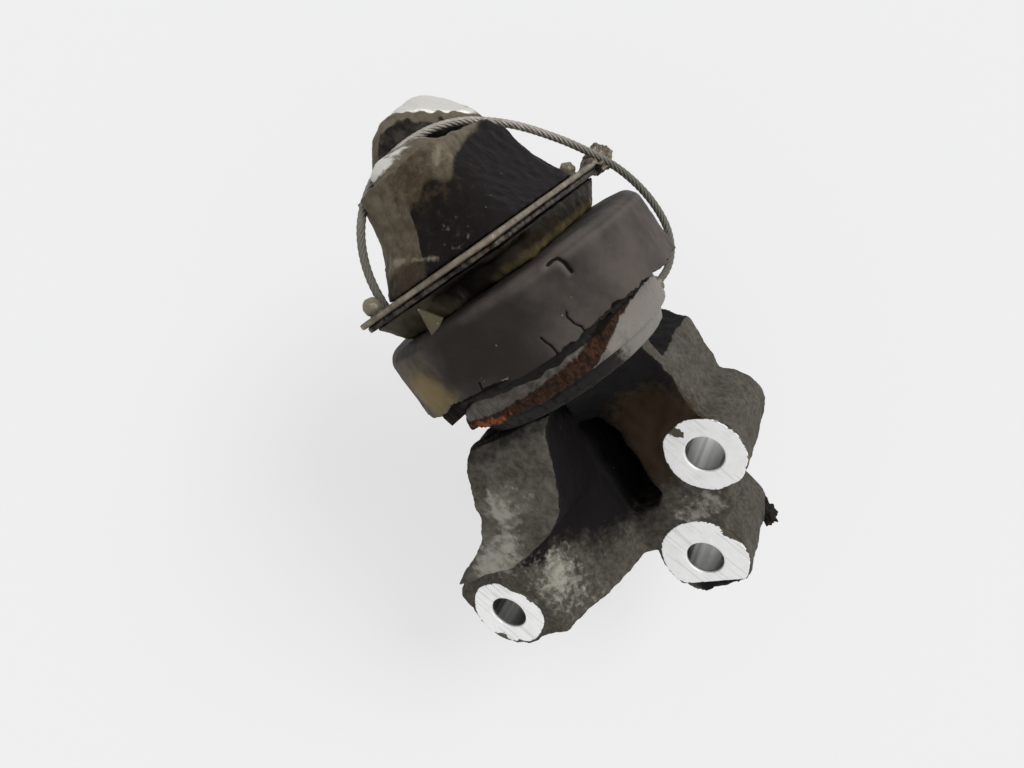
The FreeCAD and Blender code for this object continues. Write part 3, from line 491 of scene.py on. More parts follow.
def machined_finish():
    """Milled bolt face, bright with fine cutter lines, stained where value stain is painted, and with dark
    bands in the bore as a painted reflection.
    """
    material, tree, shader = new_material("machined_face")
    lines = group_node(tree, SCRATCHES, {"Turn": 0.35, "Scale": 900.0, "Amount": 0.55})
    cross = group_node(tree, SCRATCHES, {"Turn": -0.5, "Scale": 500.0, "Amount": 0.2})
    tone = mixed(tree, patch(tree, 260.0, 0.0, 0.3), colour(255, 255, 254), colour(242, 242, 240))
    tone = mixed(tree, maths(tree, "MULTIPLY", lines.outputs["Mask"], 0.28), tone, colour(178, 177, 172))
    tone = mixed(tree, maths(tree, "MULTIPLY", cross.outputs["Mask"], 0.35), tone, colour(150, 148, 140))
    bore = mark(tree, "bore")
    tone = mixed(tree, bore, tone, colour(226, 226, 224))
    # dark bands round the bore: painted reflection
    tone = mixed(tree, mark(tree, "bore_reflection"), tone, colour(70, 68, 62))
    stain = patch(tree, 700.0, maths(tree, "SUBTRACT", mark(tree, "stain"), 0.5), 0.05)
    tone = mixed(tree, stain, tone, colour(70, 64, 48))
    connect(tree, shader, {
        "Base Color": tone,
        "Metallic": between(tree, maths(tree, "SUBTRACT", maths(tree, "ADD", 0.4, bore), stain), 0.0, 1.0),
        "Roughness": between(tree, maths(tree, "SUBTRACT", bore, stain), -1.0, 1.0, 0.62, 0.3),
    }, lines.outputs["Height"], 0.12, 0.0003)
    return material


def rubber_finish(name, skin, skin_other, dust_and_lit_tone, dark, rough=0.6):
    """Aged rubber: light lifts it to a dusty pale tone, as dusty patches and as painted light and a
    painted highlight on the boot's lit side and shoulder; earth stains it yellow-brown; the dark
    colour goes where painted shade is, in its cracks, in hollows and under the plate, and on dirt.
    """
    material, tree, shader = new_material(name)
    grain = group_node(tree, GRAIN, {"Scale": 1600.0})
    tone = mixed(tree, patch(tree, 90.0, 0.0, 0.25), skin, skin_other)
    # paler where the light mark is painted: dusty patches, and painted light and a painted highlight on the
    # boot
    soft = patch(tree, 60.0, maths(tree, "SUBTRACT", mark(tree, "light"), 0.5), 0.4)
    tone = mixed(tree, soft, tone, dust_and_lit_tone)
    stain = patch(tree, 130.0, maths(tree, "SUBTRACT", mark(tree, "earth"), 0.5), 0.35)
    tone = mixed(tree, stain, tone, colour(112, 98, 66))
    pale = patch(tree, 900.0, maths(tree, "SUBTRACT", mark(tree, "chalk"), 0.5), 0.08)
    tone = mixed(tree, pale, tone, colour(168, 160, 136))
    # sparse bright specks: painted glints
    tone = mixed(tree, maths(tree, "MULTIPLY", grain.outputs["Speck"], 0.4), tone, dust_and_lit_tone)
    # dark where painted shade is painted, in cracks, hollows and under the plate, and on dirt
    deep = between(tree, mark(tree, "soot_and_shade"), 0.25, 0.75)
    tone = mixed(tree, deep, tone, dark)
    connect(tree, shader, {
        "Base Color": tone,
        "Roughness": between(tree, grain.outputs["Height"], 0.3, 1.2, rough - 0.12, rough + 0.12),
        "Specular IOR Level": 0.12,
    }, grain.outputs["Height"], 0.28, 0.0003)
    return material


def steel_finish(name, skin, skin_other, bright, metal=0.6, rough=0.45):
    """Old sheet steel: stained grey, bright along its edges and where metal is worn, and bright as
    painted light on the lit side of the rim and cup; dark as grime and as painted shade; with rust
    where it is painted.
    """
    material, tree, shader = new_material(name)
    grain = group_node(tree, GRAIN, {"Scale": 1300.0})
    tone = mixed(tree, patch(tree, 150.0, 0.0, 0.25), skin, skin_other)
    # bright where metal is worn, and as painted light on the lit side of the rim and cup
    worn = patch(tree, 260.0, maths(tree, "SUBTRACT", maths(
        tree, "ADD", mark(tree, "bare_and_lit"), maths(tree, "MULTIPLY", mark(tree, "edge_wear"), 0.12)), 0.5), 0.28)
    tone = mixed(tree, worn, tone, bright)
    rust = patch(tree, 500.0, maths(tree, "SUBTRACT", mark(tree, "rust"), 0.5), 0.12)
    flakes = patch(tree, 1100.0, 0.0, 0.18)
    rust_tone = mixed(tree, flakes, colour(27, 19, 15), colour(70, 45, 29))
    orange = patch(tree, 380.0, maths(tree, "SUBTRACT", mark(tree, "orange"), 0.5), 0.12)
    rust_tone = mixed(tree, orange, rust_tone, colour(138, 78, 42))
    rust_tone = mixed(tree, patch(tree, 420.0, -0.06, 0.1), rust_tone, colour(30, 21, 17))
    tone = mixed(tree, rust, tone, rust_tone)
    # dark where grime and painted shade are painted
    black = patch(tree, 420.0, maths(tree, "SUBTRACT", mark(tree, "soot_and_shade"), 0.5), 0.16)
    tone = mixed(tree, black, tone, colour(20, 17, 15))
    height = maths(tree, "ADD", grain.outputs["Height"], maths(tree, "MULTIPLY", rust, flakes))
    connect(tree, shader, {
        "Base Color": tone,
        "Metallic": between(tree, maths(tree, "ADD", rust, black), 0.0, 0.8, metal, 0.0),
        "Roughness": between(tree, rust, 0.0, 1.0, rough, 0.9),
        "Specular IOR Level": 0.16,
    }, height, 0.5, 0.0004)
    return material


def plain_finish(name, skin, skin_other, metal, rough):
    """Finish of a piece inside the mount, lightly mottled."""
    material, tree, shader = new_material(name)
    grain = group_node(tree, GRAIN, {"Scale": 1200.0})
    tone = mixed(tree, patch(tree, 140.0, 0.0, 0.25), skin, skin_other)
    connect(tree, shader, {"Base Color": tone, "Metallic": metal,
                           "Roughness": between(tree, grain.outputs["Height"], 0.2, 1.3,
                                                rough - 0.08, rough + 0.08)},
            grain.outputs["Height"], 0.2, 0.0003)
    return material


def rope_finish():
    """Drawn wires laid into a strand: the wires are a bump across the strand's own UV map."""
    material, tree, shader = new_material("rope_wire")
    along = add_node(tree, "UVMap", uv_map="along").outputs["UV"]
    split = add_node(tree, "SeparateXYZ", {"Vector": along})
    twist = maths(tree, "ADD", maths(tree, "MULTIPLY", split.outputs["X"], 260.0),
                 maths(tree, "MULTIPLY", split.outputs["Y"], 6.0))
    wires = maths(tree, "SINE", maths(tree, "MULTIPLY", twist, 2 * math.pi), 0.0)
    tone = mixed(tree, patch(tree, 420.0, 0.0, 0.2), colour(214, 207, 198), colour(178, 170, 158))
    tone = mixed(tree, mark(tree, "age"), tone, colour(126, 125, 114))
    # darker in the grooves between the wires: painted shade
    tone = mixed(tree, between(tree, wires, 0.2, -0.9), tone, colour(74, 69, 61))
    connect(tree, shader, {"Base Color": tone, "Metallic": 0.55,
                           "Roughness": between(tree, mark(tree, "age"), 0.0, 1.0, 0.42, 0.6)},
            wires, 0.4, 0.0002)
    return material


CAST_BRACKET = cast_finish(
    "bracket_casting", colour(90, 86, 78), colour(74, 70, 62), colour(20, 18, 18),
    colour(50, 39, 27), colour(150, 147, 135), colour(176, 174, 168))
CAST_BELL = cast_finish(
    "bell_casting", colour(72, 65, 56), colour(86, 78, 65), colour(19, 15, 15),
    colour(64, 53, 38), colour(124, 116, 99), colour(196, 194, 188), rough=0.5)
MACHINED = machined_finish()
BOOT_RUBBER = rubber_finish(
    "boot_rubber", colour(34, 30, 27), colour(42, 37, 34), colour(84, 77, 72), colour(6, 5, 5))
COLLAR_RUBBER = rubber_finish(
    "collar_rubber", colour(31, 26, 18), colour(40, 34, 24), colour(80, 74, 58), colour(10, 8, 6), 0.45)
TORN_RUBBER = rubber_finish(
    "torn_rubber", colour(26, 24, 21), colour(34, 30, 25), colour(58, 52, 44), colour(10, 9, 8), 0.7)
PLATE_STEEL = steel_finish(
    "plate_steel", colour(84, 76, 66), colour(100, 91, 79), colour(150, 141, 124), 0.3)
RIVET_STEEL = steel_finish(
    "rivet_steel", colour(104, 98, 86), colour(128, 121, 107), colour(178, 172, 156), 0.3)
RING_STEEL = steel_finish(
    "ring_steel", colour(62, 57, 50), colour(78, 73, 65), colour(120, 115, 109), 0.1, 0.5)
CUP_STEEL = steel_finish(
    "cup_steel", colour(70, 66, 60), colour(86, 82, 75), colour(118, 114, 108), 0.1, 0.5)
ROPE_WIRE = rope_finish()


# ---------------------------------------------------------------- camera, light and floor

PICTURE_RIGHT = Vector((0.716, 0.405, -0.568)).normalized()
PICTURE_UP = Vector((0.378, 0.459, 0.804)).normalized()
PICTURE_BACK = PICTURE_RIGHT.cross(PICTURE_UP).normalized()
PAPER = 0.862            # brightness of the paper
PAPER_HALF = 1.6         # metres


def make_camera():
    """The camera looks at the mount from the lip side, above it, tilted over to its left."""
    lens = bpy.data.cameras.new("camera")
    lens.sensor_width = 36.0
    lens.lens = 27.07
    camera = bpy.data.objects.new("camera", lens)
    SCENE.collection.objects.link(camera)
    turn = Matrix((PICTURE_RIGHT, PICTURE_UP, PICTURE_BACK)).transposed().to_4x4()
    camera.matrix_world = Matrix.Translation(Vector(place((125.4, -200.3, 23.2)))) @ turn
    lens.clip_start = 0.01
    lens.clip_end = 50.0
    SCENE.camera = camera


def make_lights():
    """A wide soft sun from the upper right of the view, and an even pale world."""
    sun = bpy.data.lights.new("window", "SUN")
    sun.energy = 1.8
    sun.angle = math.radians(30)
    lamp = bpy.data.objects.new("window", sun)
    SCENE.collection.objects.link(lamp)
    towards = (0.5 * PICTURE_RIGHT + 0.5 * PICTURE_UP + 0.75 * PICTURE_BACK).normalized()
    lamp.rotation_mode = "QUATERNION"
    lamp.rotation_quaternion = towards.to_track_quat("Z", "Y")

    world = bpy.data.worlds.new("room")
    SCENE.world = world
    world.use_nodes = True
    tree = world.node_tree
    background = tree.nodes["Background"]
    path = add_node(tree, "LightPath")
    seen = maths(tree, "MAXIMUM", path.outputs["Is Camera Ray"], path.outputs["Is Glossy Ray"])
    seen = maths(tree, "MAXIMUM", seen, path.outputs["Is Transmission Ray"])
    tree.links.new(mixed(tree, seen, (0.66, 0.66, 0.67, 1), (PAPER, PAPER, PAPER, 1)),
                   background.inputs["Color"])


def make_floor():
    """A sheet of white paper right behind the mount; from behind it can be looked through."""
    corners = np.array([[x, y, z] for x in (0, 1) for y in (0, 1) for z in (0, 1)])
    low, high = np.array(CAD_BOX[0]), np.array(CAD_BOX[1])
    back = np.array(PICTURE_BACK)
    depth = ((low + corners * (high - low)) @ back).min()
    centre = Vector((low + high) / 2)
    middle = centre + PICTURE_BACK * (depth - centre.dot(PICTURE_BACK))
    points = [middle + PICTURE_RIGHT * x * PAPER_HALF + PICTURE_UP * y * PAPER_HALF
              for x, y in ((-1, -1), (1, -1), (1, 1), (-1, 1))]
    mesh = bpy.data.meshes.new("paper_floor")
    mesh.from_pydata(points, [], [(0, 1, 2, 3)])
    paper = bpy.data.objects.new("paper_floor", mesh)
    SCENE.collection.objects.link(paper)

    material, tree, shader = new_material("paper")
    shader.inputs["Base Color"].default_value = (0.82, 0.82, 0.82, 1)
    shader.inputs["Roughness"].default_value = 0.9
    shader.inputs["Specular IOR Level"].default_value = 0.0
    output = tree.nodes["Material Output"]
    glow = add_node(tree, "Emission", {"Color": (PAPER, PAPER, PAPER, 1), "Strength": 1.0})
    clear = add_node(tree, "BsdfTransparent")
    path = add_node(tree, "LightPath")
    side = add_node(tree, "NewGeometry")
    share = maths(tree, "MULTIPLY", path.outputs["Is Camera Ray"], 0.72)
    front = add_node(tree, "MixShader", {0: share, 1: shader.outputs[0], 2: glow.outputs[0]})
    both = add_node(tree, "MixShader", {
        0: side.outputs["Backfacing"], 1: front.outputs[0], 2: clear.outputs[0]})
    tree.links.new(both.outputs[0], output.inputs["Surface"])
    mesh.materials.append(material)


# ---------------------------------------------------------------- limiter rope

# The rope's route in the upright plane of the groove: distance along it, height.
ROPE_ROUTE = [
    (-37.9, 19.2), (-37.9, 26.0), (-35.2, 37.0), (-28.8, 46.8), (-19.2, 54.0), (-8.5, 57.5),
    (3.5, 58.0), (13.5, 55.9), (23.0, 51.0), (31.6, 44.4), (39.8, 36.0), (47.2, 26.8),
    (53.5, 17.3), (57.4, 7.2), (58.6, -2.8), (57.6, -11.2), (52.8, -18.5), (45.0, -22.2),
    (37.2, -22.2),
]
ROPE_RADIUS = 1.3
STRANDS = 6
STRAND_RADIUS = 0.46
ROPE_LAY = 11.5


def rope_line():
    """Points of the smooth line that the rope follows, a NURBS curve over its route."""
    curve = bpy.data.curves.new("rope_route", "CURVE")
    curve.dimensions = "3D"
    curve.resolution_u = 24
    spline = curve.splines.new("NURBS")
    spline.points.add(len(ROPE_ROUTE) - 1)
    flat = np.array(ROPE_ROUTE)
    route = place(np.column_stack((flat[:, :1] * GROOVE, flat[:, 1])))
    spline.points.foreach_set("co", np.column_stack((route, np.ones(len(route)))).ravel())
    spline.order_u = 3
    spline.use_endpoint_u = True
    holder = bpy.data.objects.new("rope_route", curve)
    SCENE.collection.objects.link(holder)
    graph = bpy.context.evaluated_depsgraph_get()
    mesh = bpy.data.meshes.new_from_object(holder.evaluated_get(graph))
    values = np.zeros(len(mesh.vertices) * 3)
    mesh.vertices.foreach_get("co", values)
    bpy.data.objects.remove(holder)
    return values.reshape(-1, 3)


def even_line(line, spacing):
    """The line with points at even distances."""
    steps = np.linalg.norm(np.diff(line, axis=0), axis=1)
    run = np.concatenate(([0], np.cumsum(steps)))
    count = int(run[-1] / spacing) + 1
    wanted = np.linspace(0, run[-1], count)
    return np.column_stack([np.interp(wanted, run, line[:, axis]) for axis in range(3)]), wanted


def limiter_rope():
    """Six strands wound round a core strand: each follows a helix about the rope's line.

    A strand's centre at distance s is line(s) + a (cos(p) side + sin(p) up), with
    p = 2 pi (s / lay + strand / 6), and a circle of strand radius is carried along it.
    """
    line, run = even_line(rope_line(), 0.00035)
    tangent = np.gradient(line, axis=0)
    tangent /= np.linalg.norm(tangent, axis=1)[:, None]
    side = np.array((*ACROSS, 0.0))
    upward = np.cross(tangent, side)
    ring, _ = full_turn(8)
    pieces, faces, uv, age = [], [], [], []
    share = run / run[-1]
    old = np.clip(step(0.32, 0.1, share) + step(0.5, 0.75, share), 0, 1)
    for strand in range(STRANDS + 1):
        if strand == STRANDS:
            centre = line
            across, over = np.broadcast_to(side, line.shape), upward
        else:
            turn = 2 * np.pi * (run / (ROPE_LAY * MM) + strand / STRANDS)
            reach = (ROPE_RADIUS - STRAND_RADIUS) * MM * (1 + 0.03 * np.sin(run / MM * 0.9 + strand))
            out = np.cos(turn)[:, None] * side + np.sin(turn)[:, None] * upward
            centre = line + reach[:, None] * out
            heading = np.gradient(centre, axis=0)
            heading /= np.linalg.norm(heading, axis=1)[:, None]
            across = np.cross(heading, out)
            over = out
        circle = (np.cos(ring)[None, :, None] * across[:, None]
                  + np.sin(ring)[None, :, None] * over[:, None])
        body = centre[:, None] + STRAND_RADIUS * MM * circle
        offset = sum(len(p) for p in pieces)
        pieces.append(body.reshape(-1, 3))
        faces += (grid_faces(len(run), len(ring)) + offset).tolist()
        last = offset + (len(run) - 1) * len(ring)
        faces.append([offset + index for index in range(len(ring))][::-1])
        faces.append([last + index for index in range(len(ring))])
        both = np.broadcast_arrays(run[:, None] / 0.1, ring[None] / (2 * np.pi))
        uv.append(np.stack(both, -1).reshape(-1, 2))
        age.append(np.repeat(old, len(ring)))
    mesh = bpy.data.meshes.new("rope_strands")
    mesh.from_pydata(np.concatenate(pieces).tolist(), [], faces)
    rope = dress("rope_strands", ROPE_WIRE, mesh, {"age": np.concatenate(age)},
                 np.concatenate(uv))
    fix_normals(rope)
    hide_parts("limiter_rope")


def fix_normals(piece):
    """Turns every face outwards."""
    shell = bmesh.new()
    shell.from_mesh(piece.data)
    bmesh.ops.recalc_face_normals(shell, faces=shell.faces)
    shell.to_mesh(piece.data)
    shell.free()


# ---------------------------------------------------------------- cast bracket

def bolt_faces():
    """Name, centre x, height, face y, radius, depth and face radius of the three bolt bores."""
    found = []
    for name, reach in (("upper_arm_bore", 13.5), ("lower_arm_bore", 15.4), ("front_arm_bore", 13.2)):
        mount = MOUNTS[name]
        x, y, h = local(mount["pos_m"])
        found.append((name, x, h, y, mount["dims"]["r_mm"], mount["dims"]["length_mm"], reach))
    return found


def bracket_casting():
    """The bracket's cast skin, with its bolt faces kept flat behind their milled rings."""
    casting = Casting("mount_bracket", 0.95)
    casting.smooth(4)
    p = casting.points
    casting.push(0.22 * ripples(p, 15.0, 13) + 0.16 * ripples(p, 7.0, 11) + 0.07 * ripples(p, 2.6, 12))
    for _, x, h, face, bore, depth, reach in bolt_faces():
        away = np.hypot(p[:, 0] - x, p[:, 2] - h)
        near = (away < reach + 1.2) & (np.abs(p[:, 1] - face) < 0.9)
        p[near, 1] = face + 0.06
        inside = (away < bore + 0.9) & (p[:, 1] > face - 0.5) & (p[:, 1] < face + depth + 0.5)
        grow = (bore + 0.3) / np.maximum(away[inside], 1e-3)
        p[inside, 0] = x + (p[inside, 0] - x) * np.maximum(grow, 1)
        p[inside, 2] = h + (p[inside, 2] - h) * np.maximum(grow, 1)
    casting.read_normals()
    p, n = casting.points, casting.normals
    # side and neck: faces turned to the light, made paler by the light mark below as painted light
    side = step(0.82, 0.95, n[:, 0]) * step(0, 8, p[:, 0])
    neck = step(12.5, 15, p[:, 0]) * step(-47, -53, p[:, 2]) * step(-0.9, -0.6, n[:, 1])
    side = np.maximum(side, neck)
    # darker under the cup: painted shade
    shade_under_cup = step(-36, -29, p[:, 2])
    # darker in the hollow between the arms: painted shade
    hollow = step(-6, -16, p[:, 0]) * step(2, 8, p[:, 1] + 26) * step(-98, -90, p[:, 2])
    # dark web, pocket and the area under the cup: painted shade, with grime
    soot_and_shade = spots(p, [
        (-21, 24, -66, 14, 0.9), (-22, 10, -58, 10, 0.7), (-10, 12, -54, 9, 0.55),
        (-16, 0, -50, 11, 0.7), (-28, 4, -78, 9, 0.35), (0, 12, -44, 10, 0.35), (-6, 8, -34, 14, 0.5)])
    # the front faces are made paler below as painted light; the next line darkens every face but these and
    # the side faces towards the top: painted shade on faces turned from the light, with grime
    lit_front_face = step(-25, -28.5, p[:, 1]) * step(0.3, 0.8, -n[:, 1])
    soot_and_shade += 0.95 * step(-88, -60, p[:, 2] + 0.5 * np.minimum(p[:, 0] + 30, 0)) * (1 - lit_front_face) * (1 - side)
    soot_and_shade += 0.5 * shade_under_cup * (1 - side) + 0.25 * hollow
    # darker in concave corners: painted shade
    soot_and_shade += 0.35 * step(0.5, 1.6, -casting.edge_wear(5))
    # a dark line along the step above the front boss face, which faces down: painted shade
    foot = line_distance(p, [(-66, -28, -71.5), (-52, -28, -71), (-42, -26, -70.5), (-41, -18, -73)])
    soot_and_shade += 0.95 * hump(foot, 0, 3.0)
    # a dark strip on the trim below the lower boss, which faces down: painted shade
    soot_and_shade += spots(p, [(-9, 18, -124, 5, 0.9), (-2, 14, -124, 4, 0.6), (-14, 14, -122, 4, 0.5)])
    earth = spots(p, [(4, 12, -54, 11, 0.75), (12, 12, -60, 8, 0.5), (-2, 12, -74, 9, 0.55),
                      (-33, -8, -70, 12, 0.25), (-45, -22, -92, 8, 0.25)])
    # light: painted light on the side and front faces, and paler dusty spots
    light = 0.3 * side + 0.34 * lit_front_face
    light += spots(p, [(-33, -30, -49, 6, 0.3), (-45, -30, -64, 7, 0.35), (-54, -30, -70, 5, 0.35),
                       (-20, -30, -48, 6, 0.2), (-40, -14, -82, 8, 0.3), (-44, -22, -92, 8, 0.25)])
    chalk = spots(p, [(1, 12, -93, 5, 0.3), (9, 12, -91, 4, 0.34), (-6, 12, -94, 4, 0.2),
                      (-33, -30, -49, 5, 0.46), (-21, -30, -46, 4, 0.24), (-57, -28, -70, 5, 0.32),
                      (-47, -30, -65, 7, 0.5), (-37, -30, -60, 4, 0.26), (-31, -30, -36, 6, 0.14),
                      (-45, -21, -88, 8, 0.28), (-40, -13.5, -80, 6, 0.28), (-38, -12, -98, 7, 0.22)])
    chalk += 0.12
    marks = {"soot_and_shade": soot_and_shade, "earth": earth, "light": light, "chalk": chalk,
             "edge_wear": np.clip(casting.edge_wear(), -1, 1), "bare_and_lit": 0 * soot_and_shade}
    casting.piece("bracket_casting", "cast_bracket", CAST_BRACKET, marks)


# direction in which the lower ring's straight side faces: x, height
TRIM_SIDE = np.array((-0.199, -0.98))
TRIM_AT = 10.1
FACE_STEPS = 21
BORE_STEPS = 25


def milled_ring(name, x, h, face, bore, depth, reach, seed, flat_at=None):
    """Milled face and bore of a bolt boss, one closed ring turned about the bolt's axis.

    Its section goes round the face, a small chamfer and the bore; the face's outer radius is the
    reach times 1 + ripples of the angle, or shorter where the straight trim at flat_at cuts it.
    """
    angles, around = full_turn(240)
    outer = reach * (1 + 0.012 * ripples(around, 0.9, seed) + 0.003 * ripples(around, 0.12, seed + 1))
    if name == "front_bolt_ring":
        turn = np.degrees(angles)
        outer *= 1 - 0.16 * hump(turn, 48, 16) + 0.05 * hump(turn, 340, 18)
    if flat_at is not None:
        outer = np.minimum(outer, flat_at / np.maximum(around @ TRIM_SIDE, 1e-3))
    liner = bore - 0.02
    rows = [(outer, 0.35), (outer, -0.02), (outer - 0.15, -0.09)]
    for share in np.linspace(0, 1, FACE_STEPS + 1)[1:]:
        rows.append(((outer - 0.15) * (1 - share) + (liner + 0.45) * share, -0.09))
    rows += [(liner + 0.2, 0.02), (liner, 0.35)]
    bore_start = len(rows)
    rows += [(liner, level) for level in np.linspace(0.35, depth - 0.1, BORE_STEPS + 1)[1:]]
    rows += [(liner + 0.24, depth - 0.1), (liner + 0.24, 1.2), (outer - 0.6, 0.35)]
    radius = np.array([row[0] + 0 * outer for row in rows])
    level = np.array([row[1] + 0 * outer for row in rows])
    points = np.stack((x + radius * np.cos(angles), face + level, h + radius * np.sin(angles)), -1)
    bore_mark = np.zeros(radius.shape)
    bore_mark[bore_start:] = 1.0
    # lighter and darker bands by the angle round the bore: painted reflection
    reflection_by_angle = 0.16 + 0.34 * np.cos(angles - 0.62 * np.pi) + 0.2 * ripples(around, 0.4, seed + 5)
    bore_reflection = np.clip(reflection_by_angle[None] + 0 * radius, 0, 0.85) * bore_mark
    points = points.reshape(-1, 3)
    rim = radius / np.maximum(outer, 1e-6)
    stain = (0.36 * step(0.93, 1.0, rim) * (bore_mark < 0.5) + 0.1).ravel()
    if name == "upper_bolt_ring":
        stain += spots(points, [(11.5, 12, -64.5, 1.5, 0.75), (10, 12, -63, 1.2, 0.4)])
    if name == "lower_bolt_ring":
        stain += spots(points, [(5.5, 12, -104, 1.6, 0.6), (7, 12, -107, 1.4, 0.5),
                                (-20, 12, -118, 1.5, 0.3)])
    if name == "front_bolt_ring":
        stain += spots(points, [(-53, -24, -80, 2.0, 0.8), (-51.5, -24, -85, 1.6, 0.6),
                                (-74, -24, -97, 2.0, 0.6), (-68, -24, -101, 1.6, 0.6)])
    piece = make_piece(name, MACHINED, place(points),
                       grid_faces(len(rows), len(angles), close_rows=True),
                       {"bore": bore_mark.ravel(), "stain": stain, "bore_reflection": bore_reflection.ravel()})
    fix_normals(piece)


def bolt_rings():
    """A milled ring on each bolt face; the lower one has one straight side."""
    for seed, (name, x, h, face, bore, depth, reach) in enumerate(bolt_faces()):
        flat_at = TRIM_AT if name == "lower_arm_bore" else None
        milled_ring(name.replace("_arm_bore", "_bolt_ring"), x, h, face, bore, depth, reach, 40 + seed,
                    flat_at)


def dirt_lump():
    """A crumb of caked dirt on the lower boss: a ball of radius 1 + ripples, stretched downwards."""
    across = np.linspace(0, np.pi, 34)
    around, _ = full_turn(48)
    u, v = np.meshgrid(across, around, indexing="ij")
    ball = np.stack((np.sin(u) * np.cos(v), np.sin(u) * np.sin(v), np.cos(u)), -1).reshape(-1, 3)
    bulge = 1 + 0.16 * ripples(ball, 1.1, 5) + 0.12 * ripples(ball, 0.45, 6)
    points = ball * bulge[:, None] * np.array((3.0, 3.4, 6.0)) + np.array((5.4, 46.0, -120.0))
    piece = make_piece("dirt_lump", TORN_RUBBER, place(points),
                       grid_faces(len(across), len(around)), {"soot_and_shade": np.full(len(points), 0.3)})
    close_poles(piece)


def close_poles(piece):
    """Merges the points that meet at a pole, and turns the faces outwards."""
    shell = bmesh.new()
    shell.from_mesh(piece.data)
    bmesh.ops.remove_doubles(shell, verts=shell.verts, dist=1e-7)
    bmesh.ops.recalc_face_normals(shell, faces=shell.faces)
    shell.to_mesh(piece.data)
    shell.free()


# ---------------------------------------------------------------- cast bell

def bell_casting():
    """The bell's skin with a worn lip and dome and a plain oval casting mark."""
    casting = Casting("bell_housing", 0.55)
    casting.smooth(10)
    p = casting.points
    along, across = p[:, :2] @ GROOVE, p[:, :2] @ ACROSS
    fin = (across > -8) & (across < -1.5) & (p[:, 2] > 28) & (p[:, 2] < 53)
    back = np.where(fin, np.maximum(along - (33.5 - 0.45 * (p[:, 2] - 28)), 0), 0)
    p[:, :2] -= back[:, None] * GROOVE
    push = 0.10 * ripples(p, 6.0, 21) + 0.04 * ripples(p, 2.2, 22)
    centre = np.array((13.0, -31.2, 28.1))
    from_centre = np.linalg.norm((p - centre) * np.array((1, 1, 0.85)), axis=1)
    ring = hump(from_centre, 3.9, 0.5) * step(-0.9, 0.3, ripples(p, 2.2, 23))
    push += 0.22 * ring
    for nub in ((-13.5, -28.5, 33.5), (-15.2, -28.0, 31.0), (-16.5, -27.0, 28.5)):
        push += 0.5 * hump(np.linalg.norm(p - np.array(nub), axis=1), 0, 0.9)
    casting.push(push)
    p, n = casting.points, casting.normals
    along, across = p[:, :2] @ GROOVE, p[:, :2] @ ACROSS
    h = p[:, 2]
    round_front = p[:, 0] + np.maximum(p[:, 1] + 20.5, 0)
    border = np.interp(round_front, (0.5, 1.7, 4, 10, 16.5, 22.6, 41.7),
                       (20, 38.7, 41, 41.7, 41, 44.9, 50.4))
    left = step(-2.2, 2.2, h - border + 0.8 * ripples(p, 9, 24))
    low_left = step(29.5, 27.5, h) * step(8, 4, p[:, 0])
    light = 0.6 * left * (1 - 0.8 * low_left)
    strip = hump(line_distance(p, [(-9, -30.5, 31), (-2, -32, 28.5), (6, -34, 25.2)]), 0, 1.0)
    dark = 1 - left
    # darker: the dark oily skin below the border, and painted shade in concave corners; the next two lines
    # add painted shade in the rope groove and on the dome's wall that faces it
    soot_and_shade = 1.05 * dark + 0.5 * low_left * left + 0.35 * step(0.5, 1.6, -casting.edge_wear(5))
    soot_and_shade += 0.8 * step(4.5, 2.5, np.abs(across)) * step(60, 52, h) * step(30, 20, np.abs(along))
    soot_and_shade += 0.75 * step(-1.5, -4.5, across) * step(0.5, 0.8, n[:, :2] @ ACROSS)
    crown = h + 0.57 * np.maximum(along, 0) + 0.7 * ripples(p, 5, 25)
    on_dome = step(-2.5, -4, across)
    dome_top = step(67.6, 69.6, crown) * on_dome
    lip_top = hump(across, 8.2, 2.2) * step(3, -1, along) * step(50, 53, h)
    lip_rub = spots(p, [(1.8, -13.6, 55.5, 2.4, 0.25), (-5, -20, 54.6, 3.0, 0.4),
                        (-1, -19.5, 55.2, 2.6, 0.35)])
    bare_and_lit = 0.82 * dome_top * step(27, 21, along) + 0.37 * lip_top + lip_rub
    from_centre = np.linalg.norm((p - centre) * np.array((1, 1, 0.85)), axis=1)
    disc = np.exp(-(from_centre / 4.2) ** 4)
    chalk = 0.4 * strip + 0.22 * ring + 0.16 + 0.14 * disc
    soot_and_shade -= 0.3 * disc + 0.25 * ring
    chalk += spots(p, [(-11, -29.5, 31, 3, 0.3), (16, -20, 47, 3, 0.35), (8, -24.5, 49, 4, 0.15)])
    beige = step(64.8, 66.4, crown) * on_dome
    light += 0.5 * beige + 0.4 * strip
    soot_and_shade -= 0.75 * beige
    earth = 0.3 * left + 0.2 * dark + spots(p, [(8, -24, 44, 7, 0.3), (-6, -33, 26, 5, 0.25)])
    marks = {"soot_and_shade": soot_and_shade, "earth": earth, "light": light, "chalk": chalk, "bare_and_lit": bare_and_lit,
             "edge_wear": np.clip(casting.edge_wear(), -1, 1)}
    casting.piece("bell_casting", "cast_bell", CAST_BELL, marks)


# ---------------------------------------------------------------- plates, rivets and collar

